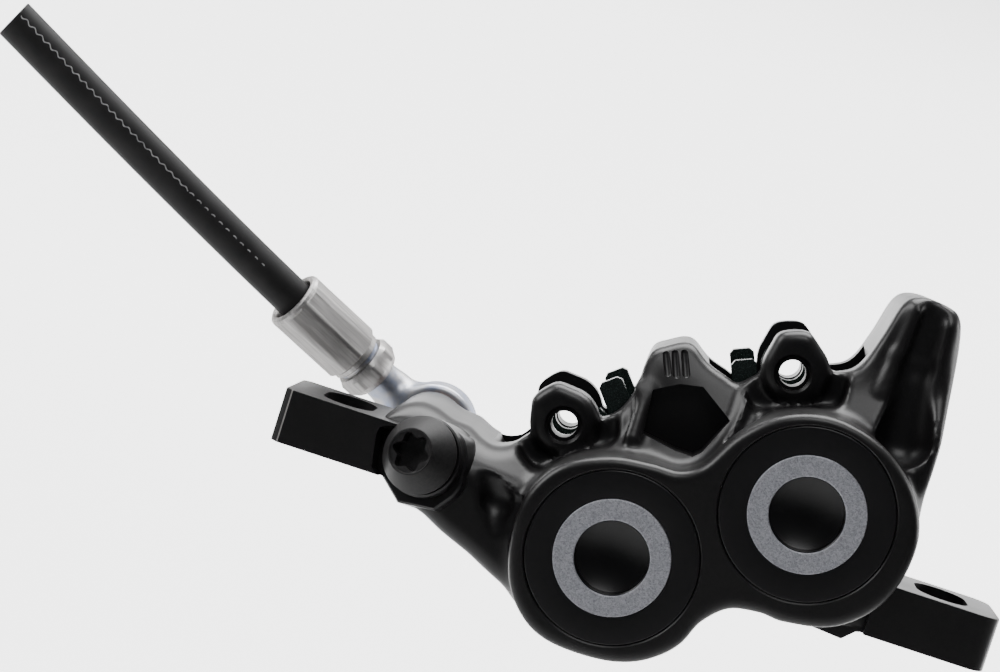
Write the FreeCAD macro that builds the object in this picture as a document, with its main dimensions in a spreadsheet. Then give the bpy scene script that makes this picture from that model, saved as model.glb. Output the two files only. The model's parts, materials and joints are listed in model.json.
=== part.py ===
import FreeCAD, Part
import math
import os
import Sketcher

# Hydraulic disc brake caliper, four opposed pistons in a one-piece body, post mount.
# Millimetres. X runs from the hose end to the far ear, Y points inboard across the
# rotor, Z runs up along the mounting bolts. The origin lies midway between the bolt
# slots, on the seat under the ears and in the middle plane of the rotor.

doc = FreeCAD.newDocument("HydraulicDiscBrake")
sheet = doc.addObject("Spreadsheet::Sheet", "Sizes")

DIMENSIONS = [
    ("bolt_spacing", 74.0, "distance between the two mounting slots"),
    ("ear_height", 6.2, "seat to bolt-head face"),
    ("ear_depth", 13.7, "ear size along Y"),
    ("ear_middle", -8.8, "Y of the bolt axes"),
    ("ear_bottom", -0.3, "underside of the ears"),
    ("left_ear_reach", 7.1, "left slot centre to the end of its ear"),
    ("right_ear_reach", 6.7, "right slot centre to the end of its ear"),
    ("ear_corner", 2.4, "corner radius of the right ear in plan"),
    ("ear_edge", 0.85, "corner radius of the left ear in plan"),
    ("left_reach", 28.1, "left piston centre to the left end of the body"),
    ("right_reach", 12.9, "right piston centre to the right end of the body"),
    ("horn_reach", 12.4, "top of the right bridge above the pin hole"),
    ("slot_width", 6.3, "slot across its length"),
    ("slot_length", 9.4, "slot along Y"),
    ("disc_x", 50.0, "rotor centre along X"),
    ("disc_drop", 63.9, "rotor centre below the seat"),
    ("disc_radius", 90.0, "outer radius of the rotor"),
    ("disc_room", 1.8, "body clearance over the rotor edge"),
    ("disc_gap", 3.6, "width of the rotor slot in the body"),
    ("track_radius", 82.0, "radius of the piston centres about the rotor"),
    ("left_angle", 38.9, "left pad from the vertical, degrees"),
    ("right_angle", 22.9, "right pad from the vertical, degrees"),
    ("outer_face", 21.5, "outboard lobe face from the rotor middle"),
    ("inner_face", 15.4, "inboard lobe face from the rotor middle"),
    ("outer_side", 14.5, "outboard side of the body block"),
    ("inner_side", 12.4, "inboard side of the body block"),
    ("shoulder_start", 90.0, "radius where the flanks start to lean in"),
    ("shoulder_end", 97.0, "radius where the leaning flanks end"),
    ("bridge_half", 9.4, "half width of the body over the rotor"),
    ("arm_front", 16.2, "outboard face of the arm at the hose end"),
    ("arm_top", 4.0, "height on that face where its slope starts"),
    ("lobe_radius", 12.0, "cylinder lobe radius"),
    ("lobe_round", 1.4, "rounding of the lobe rims"),
    ("window_half", 9.6, "half width of a pad window"),
    ("pocket_half", 5.6, "half depth of a pad window along Y"),
    ("pocket_foot", 11.0, "pad pocket below the piston centre"),
    ("pocket_taper", 0.9, "narrowing of the pocket at its foot"),
    ("pin_height", 15.8, "pad pin hole above the piston centre"),
    ("pin_radius", 1.6, "pad pin hole"),
    ("lug_radius", 4.4, "round end of a pin lug"),
    ("lug_proud", 0.9, "outboard lugs beyond the body over the rotor"),
    ("scoop_radius", 6.3, "hollow round an outboard lug"),
    ("scoop_depth", 0.5, "floor of that hollow behind the body side"),
    ("lug_foot", 5.4, "half width of a lug at its foot"),
    ("spot_radius", 3.7, "spot face round the pin hole"),
    ("spot_depth", 0.15, "depth of the spot face"),
    ("counter_radius", 1.98, "counterbore of the pin hole"),
    ("counter_depth", 1.1, "depth of the counterbore"),
    ("bore_radius", 8.0, "cylinder bore"),
    ("piston_gap", 0.12, "radial running gap of a piston"),
    ("piston_length", 7.4, "piston length"),
    ("piston_wall", 1.5, "piston wall and floor"),
    ("seal_width", 2.2, "seal ring along the bore"),
    ("seal_depth", 1.5, "depth of the seal groove"),
    ("seal_place", 8.4, "seal groove centre from the rotor middle"),
    ("bore_end", 13.1, "bottom of the inboard cylinders"),
    ("cap_radius", 10.15, "bore cap"),
    ("cap_flange", 3.3, "cap flange thickness"),
    ("cap_depth", 5.9, "cap thickness at its middle"),
    ("cap_spigot", 7.5, "radius of the cap spigot"),
    ("ring_outer", 6.87, "inlaid ring outer radius"),
    ("ring_inner", 4.25, "inlaid ring inner radius"),
    ("ring_thick", 0.6, "inlaid ring thickness"),
    ("drill_straight", 1.6, "straight part of the drilled centre"),
    ("drill_cone", 2.5, "conical part of the drilled centre"),
    ("cap_seal_size", 1.2, "section of the seal behind a cap"),
    ("pad_half", 9.25, "half width of a pad plate"),
    ("pad_foot", 9.8, "pad plate below the piston centre"),
    ("pad_shoulder", 8.2, "pad plate above the piston centre"),
    ("pad_taper", 0.9, "narrowing of a pad plate at its foot"),
    ("plate_thick", 1.8, "pad backing plate"),
    ("lining_thick", 2.0, "friction lining"),
    ("lining_edge", 0.9, "plate showing round the lining"),
    ("pad_gap", 2.8, "distance between the two linings at rest"),
    ("eyelet_radius", 3.6, "pad eyelet round the pin hole"),
    ("tab_near", 4.7, "near side of the pad tab from the pad middle"),
    ("tab_width", 3.0, "width of the pad tab"),
    ("tab_height", 18.0, "top of the pad tab above the piston centre"),
    ("magnet_radius", 3.0, "magnet in the piston"),
    ("port_in", 1.5, "hose port inside the left end of the body"),
    ("port_z", 4.4, "hose port along Z"),
    ("port_radius", 5.5, "boss round the hose port"),
    ("port_face", 6.6, "inboard face of the hose port"),
    ("seal_washer", 1.0, "sealing washer thickness"),
    ("washer_radius", 5.0, "sealing washer radius"),
    ("eye_radius", 5.35, "banjo eye radius"),
    ("eye_height", 6.0, "banjo eye height"),
    ("eye_bore", 3.3, "hole through the banjo eye"),
    ("bolt_radius", 2.95, "banjo bolt shank"),
    ("bolt_depth", 5.5, "banjo bolt thread in the body"),
    ("head_radius", 4.7, "banjo bolt head"),
    ("head_height", 4.0, "banjo bolt head height"),
    ("head_socket", 2.3, "socket in the bolt head"),
    ("stem_rise", 20.7, "banjo stem above the X axis, degrees"),
    ("elbow", 6.56, "eye centre to the elbow of the stem"),
    ("hose_rise", 28.0, "hose fitting above the X axis, degrees"),
    ("hose_lean", 22.0, "hose fitting towards outboard, degrees"),
    ("hose_bend", 4.0, "bend of the hose upward, degrees"),
    ("hose_drift", -2.0, "bend of the hose towards outboard, degrees"),
    ("hose_run", 20.0, "first run of the hose up to its bend"),
    ("stem_radius", 2.5, "tube stem of the banjo"),
    ("stem_end", 12.4, "where the threaded nose starts"),
    ("nose_radius", 3.05, "threaded nose of the banjo"),
    ("hex_start", 9.6, "where the fixed hexagon starts"),
    ("hex_end", 12.4, "where the fixed hexagon ends"),
    ("hex_flat", 3.5, "half width over the flats"),
    ("nose_end", 16.4, "end of the threaded nose"),
    ("nut_start", 13.4, "near end of the union nut"),
    ("nut_end", 25.1, "mouth of the union nut"),
    ("nut_radius", 4.0, "union nut radius"),
    ("nut_mouth", 2.85, "opening at the mouth of the nut"),
    ("hose_radius", 2.5, "brake hose radius"),
    ("hose_bore", 1.15, "brake hose bore"),
    ("hose_seat", 17.4, "where the hose starts inside the nut"),
    ("olive_length", 3.6, "compression olive"),
    ("insert_length", 9.0, "hose insert"),
    ("insert_flange", 2.4, "flange radius of the hose insert"),
    ("insert_bore", 0.6, "bore of the hose insert"),
    ("passage", 1.0, "radius of the fluid passage"),
    ("hose_length", 56.4, "length of the brake hose"),
    ("bleed_in", 4.3, "bleed boss inside the left end of the body"),
    ("bleed_z", 3.3, "bleed boss along Z"),
    ("bleed_radius", 5.3, "bleed boss radius"),
    ("bleed_side", 19.0, "bleed axis to the left, degrees"),
    ("bleed_up", 8.5, "bleed axis upward, degrees"),
    ("bleed_reach", 2.6, "boss face beyond the block along its axis"),
    ("collar_radius", 6.3, "eight-sided collar round the bleed boss, over its corners"),
    ("collar_reach", 1.3, "front of that collar beyond the block along the bleed axis"),
    ("bleed_neck", 4.5, "cone foot of the bleed screw"),
    ("bleed_face", 2.65, "front face of the bleed screw"),
    ("bleed_height", 4.0, "height of the bleed screw cone"),
    ("bleed_socket", 2.0, "six-lobe recess of the bleed screw"),
    ("bleed_stem", 2.2, "threaded stem of the bleed screw"),
    ("bleed_seal", 0.7, "thickness of the seal under the bleed screw"),
    ("recess_floor", 8.2, "floor of the recess in the hump from the rotor middle"),
    ("flute_radius", 0.8, "small flutes over the recess"),
]

for row, (alias, number, note) in enumerate(DIMENSIONS, start=1):
    sheet.set(f"A{row}", note)
    sheet.set(f"B{row}", str(number))
    sheet.setAlias(f"B{row}", alias)
doc.recompute()


class Size:
    """A number together with the expression that gives it in the document."""

    def __init__(self, value, text):
        self.value = float(value)
        self.text = text

    def __add__(self, other):
        o = size(other)
        return Size(self.value + o.value, f"({self.text} + {o.text})")

    def __radd__(self, other):
        return size(other) + self

    def __sub__(self, other):
        o = size(other)
        return Size(self.value - o.value, f"({self.text} - {o.text})")

    def __rsub__(self, other):
        return size(other) - self

    def __mul__(self, other):
        o = size(other)
        return Size(self.value * o.value, f"({self.text} * {o.text})")

    def __rmul__(self, other):
        return size(other) * self

    def __truediv__(self, other):
        o = size(other)
        return Size(self.value / o.value, f"({self.text} / {o.text})")

    def __neg__(self):
        return Size(-self.value, f"(0 - {self.text})")


def size(x):
    if isinstance(x, Size):
        return x
    return Size(x, repr(float(x)))


def sine(x):
    return Size(math.sin(math.radians(x.value)), f"sin({x.text} * 1 deg)")


def cosine(x):
    return Size(math.cos(math.radians(x.value)), f"cos({x.text} * 1 deg)")


S = {alias: Size(number, f"Sizes.{alias}") for alias, number, note in DIMENSIONS}


def bind(obj, prop, x):
    obj.setExpression(prop, size(x).text)


def place(obj, x, y, z, rotation=None):
    x, y, z = size(x), size(y), size(z)
    base = FreeCAD.Vector(x.value, y.value, z.value)
    obj.Placement = FreeCAD.Placement(base, rotation or FreeCAD.Rotation())
    bind(obj, "Placement.Base.x", x)
    bind(obj, "Placement.Base.y", y)
    bind(obj, "Placement.Base.z", z)


ALONG_Y = FreeCAD.Rotation(FreeCAD.Vector(1, 0, 0), -90)
FRONT_PLANE = FreeCAD.Rotation(FreeCAD.Vector(1, 0, 0), 90)


def cylinder(name, radius, x, z, y_start, y_end):
    """A cylinder along Y between two stations."""
    obj = doc.addObject("Part::Cylinder", name)
    y_start, y_end = size(y_start), size(y_end)
    bind(obj, "Radius", radius)
    bind(obj, "Height", y_end - y_start)
    place(obj, x, y_start, z, ALONG_Y)
    return obj


def box(name, x0, x1, y0, y1, z0, z1):
    obj = doc.addObject("Part::Box", name)
    bind(obj, "Length", size(x1) - x0)
    bind(obj, "Width", size(y1) - y0)
    bind(obj, "Height", size(z1) - z0)
    place(obj, x0, y0, z0)
    return obj


def polygon(name, points):
    """A closed sketch through the points, each held by its two distances."""
    sketch = doc.addObject("Sketcher::SketchObject", name)
    points = [(size(u), size(v)) for u, v in points]
    count = len(points)
    for i in range(count):
        u0, v0 = points[i]
        u1, v1 = points[(i + 1) % count]
        start = FreeCAD.Vector(u0.value, v0.value, 0)
        end = FreeCAD.Vector(u1.value, v1.value, 0)
        sketch.addGeometry(Part.LineSegment(start, end), False)
    for i in range(count):
        sketch.addConstraint(Sketcher.Constraint("Coincident", i, 2, (i + 1) % count, 1))
    for i in range(count):
        for kind, x in zip(("DistanceX", "DistanceY"), points[i]):
            c = sketch.addConstraint(Sketcher.Constraint(kind, -1, 1, i, 1, x.value))
            sketch.setExpression(f"Constraints[{c}]", x.text)
    return sketch


def prism(name, points, y_start, y_end, x=0.0, z=0.0, turn=0.0):
    """The polygon in the XZ plane, turned about Y, carried from y_start to y_end."""
    sketch = polygon(name + "Sketch", points)
    turned = FreeCAD.Rotation(FreeCAD.Vector(0, 1, 0), -size(turn).value)
    place(sketch, x, y_start, z, turned * FRONT_PLANE)
    obj = doc.addObject("Part::Extrusion", name)
    obj.Base = sketch
    obj.DirMode = "Custom"
    obj.Dir = FreeCAD.Vector(0, 1, 0)
    obj.Solid = True
    bind(obj, "LengthFwd", size(y_end) - y_start)
    return obj


def turned(name, points, x, y, z, axis, rotation=None):
    """The polygon turned a full circle about an axis through (x, y, z)."""
    sketch = polygon(name + "Sketch", points)
    place(sketch, x, y, z, rotation)
    obj = doc.addObject("Part::Revolution", name)
    obj.Source = sketch
    obj.Axis = axis
    obj.Base = FreeCAD.Vector(size(x).value, size(y).value, size(z).value)
    bind(obj, "Base.x", x)
    bind(obj, "Base.y", y)
    bind(obj, "Base.z", z)
    obj.Angle = 360.0
    obj.Solid = True
    return obj


def fuse(name, shapes):
    obj = doc.addObject("Part::MultiFuse", name)
    obj.Shapes = shapes
    obj.Refine = True
    return obj


def cut(name, base, tool):
    obj = doc.addObject("Part::Cut", name)
    obj.Base = base
    obj.Tool = tool
    obj.Refine = True
    return obj


def rounded(name, base, pick, radius):
    """Fillets on the edges of base that pick chooses."""
    doc.recompute()
    obj = doc.addObject("Part::Fillet", name)
    obj.Base = base
    r = size(radius).value
    chosen = [i + 1 for i, e in enumerate(base.Shape.Edges) if pick(e)]
    obj.Edges = [(i, r, r) for i in chosen]
    return obj


def along(direction):
    """Picks the straight edges that run along a direction."""
    d = FreeCAD.Vector(*direction)

    def pick(edge):
        if edge.Curve.TypeId != "Part::GeomLine":
            return False
        return abs(abs(edge.tangentAt(edge.FirstParameter).dot(d)) - 1.0) < 1e-6

    return pick


def at_y(y):
    """Picks the round edges that lie in the plane Y = y."""
    level = size(y).value

    def pick(edge):
        b = edge.BoundBox
        return edge.Curve.TypeId != "Part::GeomLine" and b.YLength < 1e-4 and abs(b.YMin - level) < 1e-4

    return pick


def in_plane(y):
    """Picks every edge that lies in the plane Y = y."""
    level = size(y).value

    def pick(edge):
        b = edge.BoundBox
        return b.YLength < 1e-4 and abs(b.YMin - level) < 1e-4

    return pick


NODES = {}


def node(name, obj):
    obj.Label = name
    NODES[name] = obj
    return obj


# Derived stations: piston centres on the braking track, pad directions.
disc_x = S["disc_x"]
disc_z = -S["disc_drop"]
SIDES = ("left", "right")
angle = {side: S[f"{side}_angle"] for side in SIDES}
piston_x = {side: disc_x - S["track_radius"] * sine(angle[side]) for side in SIDES}
piston_z = {side: disc_z + S["track_radius"] * cosine(angle[side]) for side in SIDES}
pin_x = {side: piston_x[side] - S["pin_height"] * sine(angle[side]) for side in SIDES}
pin_z = {side: piston_z[side] + S["pin_height"] * cosine(angle[side]) for side in SIDES}
inward = {"left": 1.0, "right": -1.0}
half = S["bolt_spacing"] / 2.0
left_slot = -half
right_slot = half
lobe = S["lobe_radius"]
lx, lz = piston_x["left"], piston_z["left"]
rx, rz = piston_x["right"], piston_z["right"]

# Caliper body: one block whose outline follows the rotor, with two cylinder lobes
# on each side, leaning shoulders, three bridges over the rotor and two pad windows.
left_end = lx - S["left_reach"]
right_end = rx + S["right_reach"]
port_x = left_end + S["port_in"]
bleed_x = left_end + S["bleed_in"]
middle_x = (lx + rx) / 2.0
middle_z = (lz + rz) / 2.0
hump_x = (pin_x["left"] + pin_x["right"]) / 2.0
hump_z = (pin_z["left"] + pin_z["right"]) / 2.0
horn_z = pin_z["right"] + S["horn_reach"]
outline = [
    (left_end, 0.0),
    (left_end + 2.2, -2.4),
    (left_end + 5.0, -3.0),
    (lx - 15.8, lz - 6.0),
    (lx - 11.5, lz - 8.0),
    (lx - 7.2, lz - 9.6),
    (lx, lz - lobe + 0.8),
    (lx + 7.1, lz - 9.3),
    (middle_x + 1.3, middle_z - 9.2),
    (middle_x + 5.0, middle_z - 6.4),
    (rx + 3.8, rz - lobe - 0.9),
    (right_end - 4.1, -1.75),
    (right_end - 2.6, S["ear_bottom"]),
    (right_end - 1.2, S["ear_bottom"]),
    (right_end - 0.5, S["ear_height"] - 2.8),
    (right_end - 0.1, S["ear_height"] + 7.8),
    (right_end, (S["ear_height"] + horn_z) / 2.0 - 1.4),
    (right_end - 0.4, horn_z - 9.2),
    (right_end - 1.0, horn_z - 4.0),
    (right_end - 2.6, horn_z - 0.2),
    (right_end - 6.8, horn_z + 0.4),
    (right_end - 8.9, horn_z - 1.0),
    (right_end - 11.2, horn_z - 9.0),
    (pin_x["right"] + 4.6, pin_z["right"] + 1.4),
    (pin_x["right"] + 2.1, pin_z["right"] + 0.6),
    (pin_x["right"] - 3.0, pin_z["right"] - 1.6),
    (pin_x["right"] - 5.4, pin_z["right"] - 3.6),
    (hump_x + 4.4, hump_z + 3.8),
    (hump_x + 2.2, hump_z + 4.6),
    (hump_x + 0.3, hump_z + 5.9),
    (hump_x - 1.2, hump_z + 6.0),
    (hump_x - 3.9, hump_z + 4.6),
    (hump_x - 5.0, hump_z + 2.2),
    (hump_x - 5.2, hump_z - 1.6),
    (hump_x - 6.4, pin_z["left"] + 2.6),
    (pin_x["left"] + 1.9, pin_z["left"]),
    (pin_x["left"] - 2.1, pin_z["left"] - 2.4),
    (pin_x["left"] - 4.4, pin_z["left"] - 4.0),
    (left_end + 10.0, 7.5),
    (left_end + 7.2, 8.5),
    (left_end + 3.2, 9.2),
    (left_end, 7.4),
]
block = prism("Block", outline, -S["outer_side"], S["inner_side"])
block_round = rounded("BlockRound", block, along((0, 1, 0)), 0.5)

far_out = 40.0
front_lean = turned(
    "FrontLean",
    [
        (S["shoulder_start"], -S["outer_side"]),
        (S["shoulder_end"], -S["bridge_half"]),
        (S["shoulder_end"] + far_out, -S["bridge_half"]),
        (S["shoulder_end"] + far_out, -far_out),
        (S["shoulder_start"], -far_out),
    ],
    disc_x, 0.0, disc_z, FreeCAD.Vector(0, 1, 0),
)
back_lean = turned(
    "BackLean",
    [
        (S["shoulder_start"], S["inner_side"]),
        (S["shoulder_end"], S["bridge_half"]),
        (S["shoulder_end"] + far_out, S["bridge_half"]),
        (S["shoulder_end"] + far_out, far_out),
        (S["shoulder_start"], far_out),
    ],
    disc_x, 0.0, disc_z, FreeCAD.Vector(0, 1, 0),
)
# The hose end is thinner on the inboard side, where the hose port is faced off.
port_step = box(
    "PortStep", left_end - 10.0, left_end + 8.6, S["port_face"], far_out, -20.0, 30.0
)
shaped = cut("ShapedBlock", block_round, fuse("Leans", [front_lean, back_lean, port_step]))

# The arm of the hose end stands further outboard; its upper front edge is milled to a slope.
arm_outline = [
    (left_end, 0.0),
    (left_end + 2.2, -2.4),
    (left_end + 5.0, -3.0),
    (lx - 15.8, lz - 6.0),
    (lx - 11.5, lz - 8.0),
    (lx - 6.0, lz - 9.0),
    (lx - 4.5, lz + 4.0),
    (lx - 10.5, lz + 8.8),
    (left_end + 14.0, 8.2),
    (left_end + 10.0, 7.5),
    (left_end + 7.2, 8.5),
    (left_end + 3.2, 9.2),
    (left_end, 7.4),
]
arm = rounded(
    "ArmRound", prism("Arm", arm_outline, -S["arm_front"], -S["bridge_half"]),
    in_plane(-S["arm_front"]), 1.0,
)
slope = doc.addObject("Part::Box", "ArmSlope")
slope.Length = 60.0
slope.Width = 60.0
slope.Height = 30.0
place(slope, left_end - 20.0, -S["arm_front"], S["arm_top"],
      FreeCAD.Rotation(FreeCAD.Vector(1, 0, 0), 38.5))
slope_back = doc.addObject("Part::Box", "ArmSlopeBack")
slope_back.Length = 60.0
slope_back.Width = 30.0
slope_back.Height = 30.0
place(slope_back, left_end - 20.0, -S["arm_front"] - 30.0, S["arm_top"],
      FreeCAD.Rotation())
arm_cut = cut("ArmCut", arm, fuse("ArmSlopes", [slope, slope_back]))
scoops = []
for side in SIDES:
    scoops.append(
        cylinder("Scoop" + side.title(), S["scoop_radius"], pin_x[side], pin_z[side],
                 -30.0, -S["bridge_half"] + S["scoop_depth"])
    )
scooped = cut("ScoopedBlock", fuse("BlockAndArm", [shaped, arm_cut]), fuse("Scoops", scoops))


def lobe_set(name, y_back, y_front):
    """Two cylinder lobes and the web between them, rounded at the outer face."""
    parts = []
    low, high = (y_front, y_back) if size(y_front).value < size(y_back).value else (y_back, y_front)
    rim = at_y(y_front)
    for side in SIDES:
        drum = cylinder(name + side.title(), lobe, piston_x[side], piston_z[side], low, high)
        parts.append(rounded(name + side.title() + "Round", drum, rim, S["lobe_round"]))
    web = [
        (lx - 1.0, lz + lobe - 0.3),
        (lx + 6.2, lz + lobe - 0.5),
        (middle_x + 0.8, middle_z + 10.3),
        (rx - 5.6, rz + lobe - 1.6),
        (rx, rz),
        (rx - 2.6, rz - lobe + 0.4),
        (middle_x + 3.4, middle_z - 7.9),
        (middle_x - 0.2, middle_z - 13.1),
        (lx, lz),
    ]
    bridge = prism(name + "Web", web, low, high)
    parts.append(rounded(name + "WebRound", bridge, in_plane(y_front), S["lobe_round"]))
    return fuse(name, parts)


outer_lobes = lobe_set("OuterLobes", -S["outer_side"] + 4.0, -S["outer_face"])
inner_lobes = lobe_set("InnerLobes", S["inner_side"] - 4.0, S["inner_face"])


def ear(name, slot_x, sign, root, reach, corner):
    """A mounting ear with its rounded end, from the root in the body outwards."""
    y0 = S["ear_middle"] - S["ear_depth"] / 2.0
    y1 = S["ear_middle"] + S["ear_depth"] / 2.0
    end = slot_x + reach * sign
    x0, x1 = (end, root) if sign < 0 else (root, end)
    block = box(name, x0, x1, y0, y1, S["ear_bottom"], S["ear_height"])
    outer = end.value

    def pick(edge):
        return along((0, 0, 1))(edge) and abs(edge.BoundBox.XMin - outer) < 1e-4

    return rounded(name + "Round", block, pick, corner)


left_ear = ear("LeftEar", left_slot, -1.0, left_end + 1.0, S["left_ear_reach"], S["ear_edge"])
right_ear = ear("RightEar", right_slot, 1.0, right_end - 2.0, S["right_ear_reach"], S["ear_corner"])


def lug(name, side, y0, y1, y_foot=0.0):
    """A pin lug: a round head on a wider foot, along the pad's own direction."""
    head = cylinder(name + "Head", S["lug_radius"], pin_x[side], pin_z[side], y0, y1)
    foot = prism(
        name + "Foot",
        [
            (-S["lug_radius"], 0.0),
            (-S["lug_foot"], -6.4),
            (S["lug_foot"], -6.4),
            (S["lug_radius"], 0.0),
        ],
        size(y0) + size(y_foot), y1, pin_x[side], pin_z[side], angle[side],
    )
    return [head, foot]


lugs = []
for side in SIDES:
    front = -S["bridge_half"] - S["lug_proud"]
    lugs += lug("NearLug" + side.title(), side, front, -S["pocket_half"], S["lug_proud"] + S["scoop_depth"])
    lugs += lug("FarLug" + side.title(), side, S["pocket_half"], S["bridge_half"])

# Hose port boss inboard and the angled bleed boss outboard.
port_boss = cylinder(
    "PortBoss", S["port_radius"], port_x, S["port_z"], -S["outer_side"] + 3.0, S["port_face"]
)
bleed_turn = FreeCAD.Rotation(FreeCAD.Vector(0, 0, 1), -S["bleed_side"].value)
bleed_turn = bleed_turn * FreeCAD.Rotation(FreeCAD.Vector(1, 0, 0), -S["bleed_up"].value)
bleed_axis = bleed_turn * FreeCAD.Rotation(FreeCAD.Vector(1, 0, 0), 90)
bleed_dir = bleed_axis.multVec(FreeCAD.Vector(0, 0, 1))
bleed_side = S["bleed_side"]
bleed_up = S["bleed_up"]
bleed_dx = -(sine(bleed_side) * cosine(bleed_up))
bleed_dy = -(cosine(bleed_side) * cosine(bleed_up))
bleed_dz = sine(bleed_up)


def bleed_shape(kind, name, start, sizes, turn=0.0):
    """A cylinder or cone on the bleed axis, starting so far out from its root."""
    obj = doc.addObject(kind, name)
    for prop, x in sizes.items():
        bind(obj, prop, x)
    start = size(start)
    x = bleed_x + bleed_dx * start
    y = bleed_dy * start - S["outer_side"]
    z = S["bleed_z"] + bleed_dz * start
    place(obj, x, y, z, bleed_axis * FreeCAD.Rotation(FreeCAD.Vector(0, 0, 1), turn))
    return obj


bleed_boss = bleed_shape(
    "Part::Cylinder", "BleedBoss", -9.0,
    {"Radius": S["bleed_radius"], "Height": S["bleed_reach"] + 9.0},
)
bleed_collar = bleed_shape(
    "Part::Prism", "BleedCollar", -5.0,
    {"Circumradius": S["collar_radius"], "Height": S["collar_reach"] + 5.0},
    -14.8,
)
bleed_collar.Polygon = 8
seat_room = box("SeatRoom", left_end - 6.0, left_end + 1.4, -24.0, -6.0, -8.0, S["ear_bottom"])
bleed_collar = cut("BleedCollarTrimmed", bleed_collar, seat_room)
mass = fuse(
    "BodyMass",
    [scooped, outer_lobes, inner_lobes, left_ear, right_ear, port_boss, bleed_boss, bleed_collar] + lugs,
)

# Everything that is milled or bored out of the body.
cuts = []
cuts.append(
    cylinder(
        "RotorSlot", S["disc_radius"] + S["disc_room"], disc_x, disc_z,
        -S["disc_gap"] / 2.0, S["disc_gap"] / 2.0,
    )
)
for side in SIDES:
    w = S["window_half"]
    foot = w - S["pocket_taper"]
    cuts.append(
        prism(
            "Window" + side.title(),
            [(-foot, -S["pocket_foot"] - 6.0), (foot, -S["pocket_foot"] - 6.0), (w, 4.0), (w, 34.0),
             (-w, 34.0), (-w, 4.0)],
            -S["pocket_half"], S["pocket_half"], piston_x[side], piston_z[side], angle[side],
        )
    )
    px, pz = piston_x[side], piston_z[side]
    cuts.append(
        cylinder("Bore" + side.title(), S["bore_radius"], px, pz, -S["outer_face"] - 1.0, S["bore_end"])
    )
    cuts.append(
        cylinder(
            "CapSeat" + side.title(), S["cap_radius"], px, pz,
            -S["outer_face"] - 1.0, -S["outer_face"] + S["cap_flange"],
        )
    )
    for sign, tag in ((-1.0, "Near"), (1.0, "Far")):
        middle = S["seal_place"] * sign
        cuts.append(
            cylinder(
                f"SealGroove{tag}{side.title()}", S["bore_radius"] + S["seal_depth"], px, pz,
                middle - S["seal_width"] / 2.0, middle + S["seal_width"] / 2.0,
            )
        )
    ax, az = pin_x[side], pin_z[side]
    cuts.append(cylinder("PinHole" + side.title(), S["pin_radius"], ax, az, -20.0, 20.0))
    face = -S["bridge_half"] - S["lug_proud"]
    cuts.append(
        cylinder("Spot" + side.title(), S["spot_radius"], ax, az, face - 2.0, face + S["spot_depth"])
    )
    cuts.append(
        cylinder(
            "Counter" + side.title(), S["counter_radius"], ax, az, face - 2.0,
            face + S["spot_depth"] + S["counter_depth"],
        )
    )
for name, sx in (("Left", left_slot), ("Right", right_slot)):
    straight = (S["slot_length"] - S["slot_width"]) / 2.0
    y = S["ear_middle"]
    middle = box(
        name + "SlotMiddle", sx - S["slot_width"] / 2.0, sx + S["slot_width"] / 2.0,
        y - straight, y + straight, -1.0, S["ear_height"] + 1.0,
    )
    cuts.append(middle)
    for tag, sign in (("A", -1.0), ("B", 1.0)):
        end = doc.addObject("Part::Cylinder", f"{name}SlotEnd{tag}")
        bind(end, "Radius", S["slot_width"] / 2.0)
        bind(end, "Height", S["ear_height"] + 2.0)
        place(end, sx, y + straight * sign, -1.0)
        cuts.append(end)

# Room for a bolt head above each ear, between the ear and the body flank.
cuts.append(
    rounded(
        "BoltRoomRight",
        box("BoltRoomRightBox", right_end - 0.9, right_end + 20.0,
            S["ear_middle"] - S["ear_depth"] / 2.0 - 4.0, S["ear_middle"] + S["ear_depth"] / 2.0 + 40.0,
            S["ear_height"], S["ear_height"] + 40.0),
        lambda e: along((0, 1, 0))(e) and abs(e.BoundBox.XMin - (right_end.value - 0.9)) < 1e-4
        and abs(e.BoundBox.ZMin - S["ear_height"].value) < 1e-4,
        0.8,
    )
)
# The pentagon recess and the two small flutes in the front of the hump.
recess = [(-2.7, -5.4), (-3.0, -0.4), (-0.5, 1.4), (2.9, 1.8), (6.1, -0.4), (4.2, -5.8)]
cuts.append(prism("HumpRecess", recess, -far_out, -S["recess_floor"], hump_x, hump_z))
for i, (along_x, along_z) in enumerate([(-2.9, 2.2), (-0.1, 3.1)]):
    flute = doc.addObject("Part::Cylinder", f"HumpFlute{i}")
    bind(flute, "Radius", S["flute_radius"])
    flute.Height = 5.0
    place(flute, hump_x + along_x, -S["bridge_half"], hump_z + along_z)
    cuts.append(flute)
# Threaded holes for the hose bolt and the bleed screw, with their passages.
cuts.append(
    cylinder("PortHole", S["bolt_radius"] + 0.05, port_x, S["port_z"],
             S["port_face"] - S["bolt_depth"] - 1.2, S["port_face"] + 1.0)
)
cuts.append(
    bleed_shape("Part::Cylinder", "BleedHole", S["bleed_reach"] - 7.0,
                {"Radius": S["bleed_stem"], "Height": size(9.0)})
)
# The ear and the flank are relieved round the head of the bleed screw.
cuts.append(
    bleed_shape("Part::Cylinder", "BleedRoom", S["bleed_reach"],
                {"Radius": S["bleed_neck"] + 0.45, "Height": size(12.0)})
)
# A valley down the front of the right bridge leaves its two ridges.
valley = doc.addObject("Part::Cone", "HornValley")
valley.Radius1 = 3.4
valley.Radius2 = 1.7
valley.Height = 18.4
place(valley, right_end - 4.4, -14.0, pin_z["right"] - 3.6,
      FreeCAD.Rotation(FreeCAD.Vector(0, 0, 1), FreeCAD.Vector(-0.9, 3.1, 17.9)))
cuts.append(valley)
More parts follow.
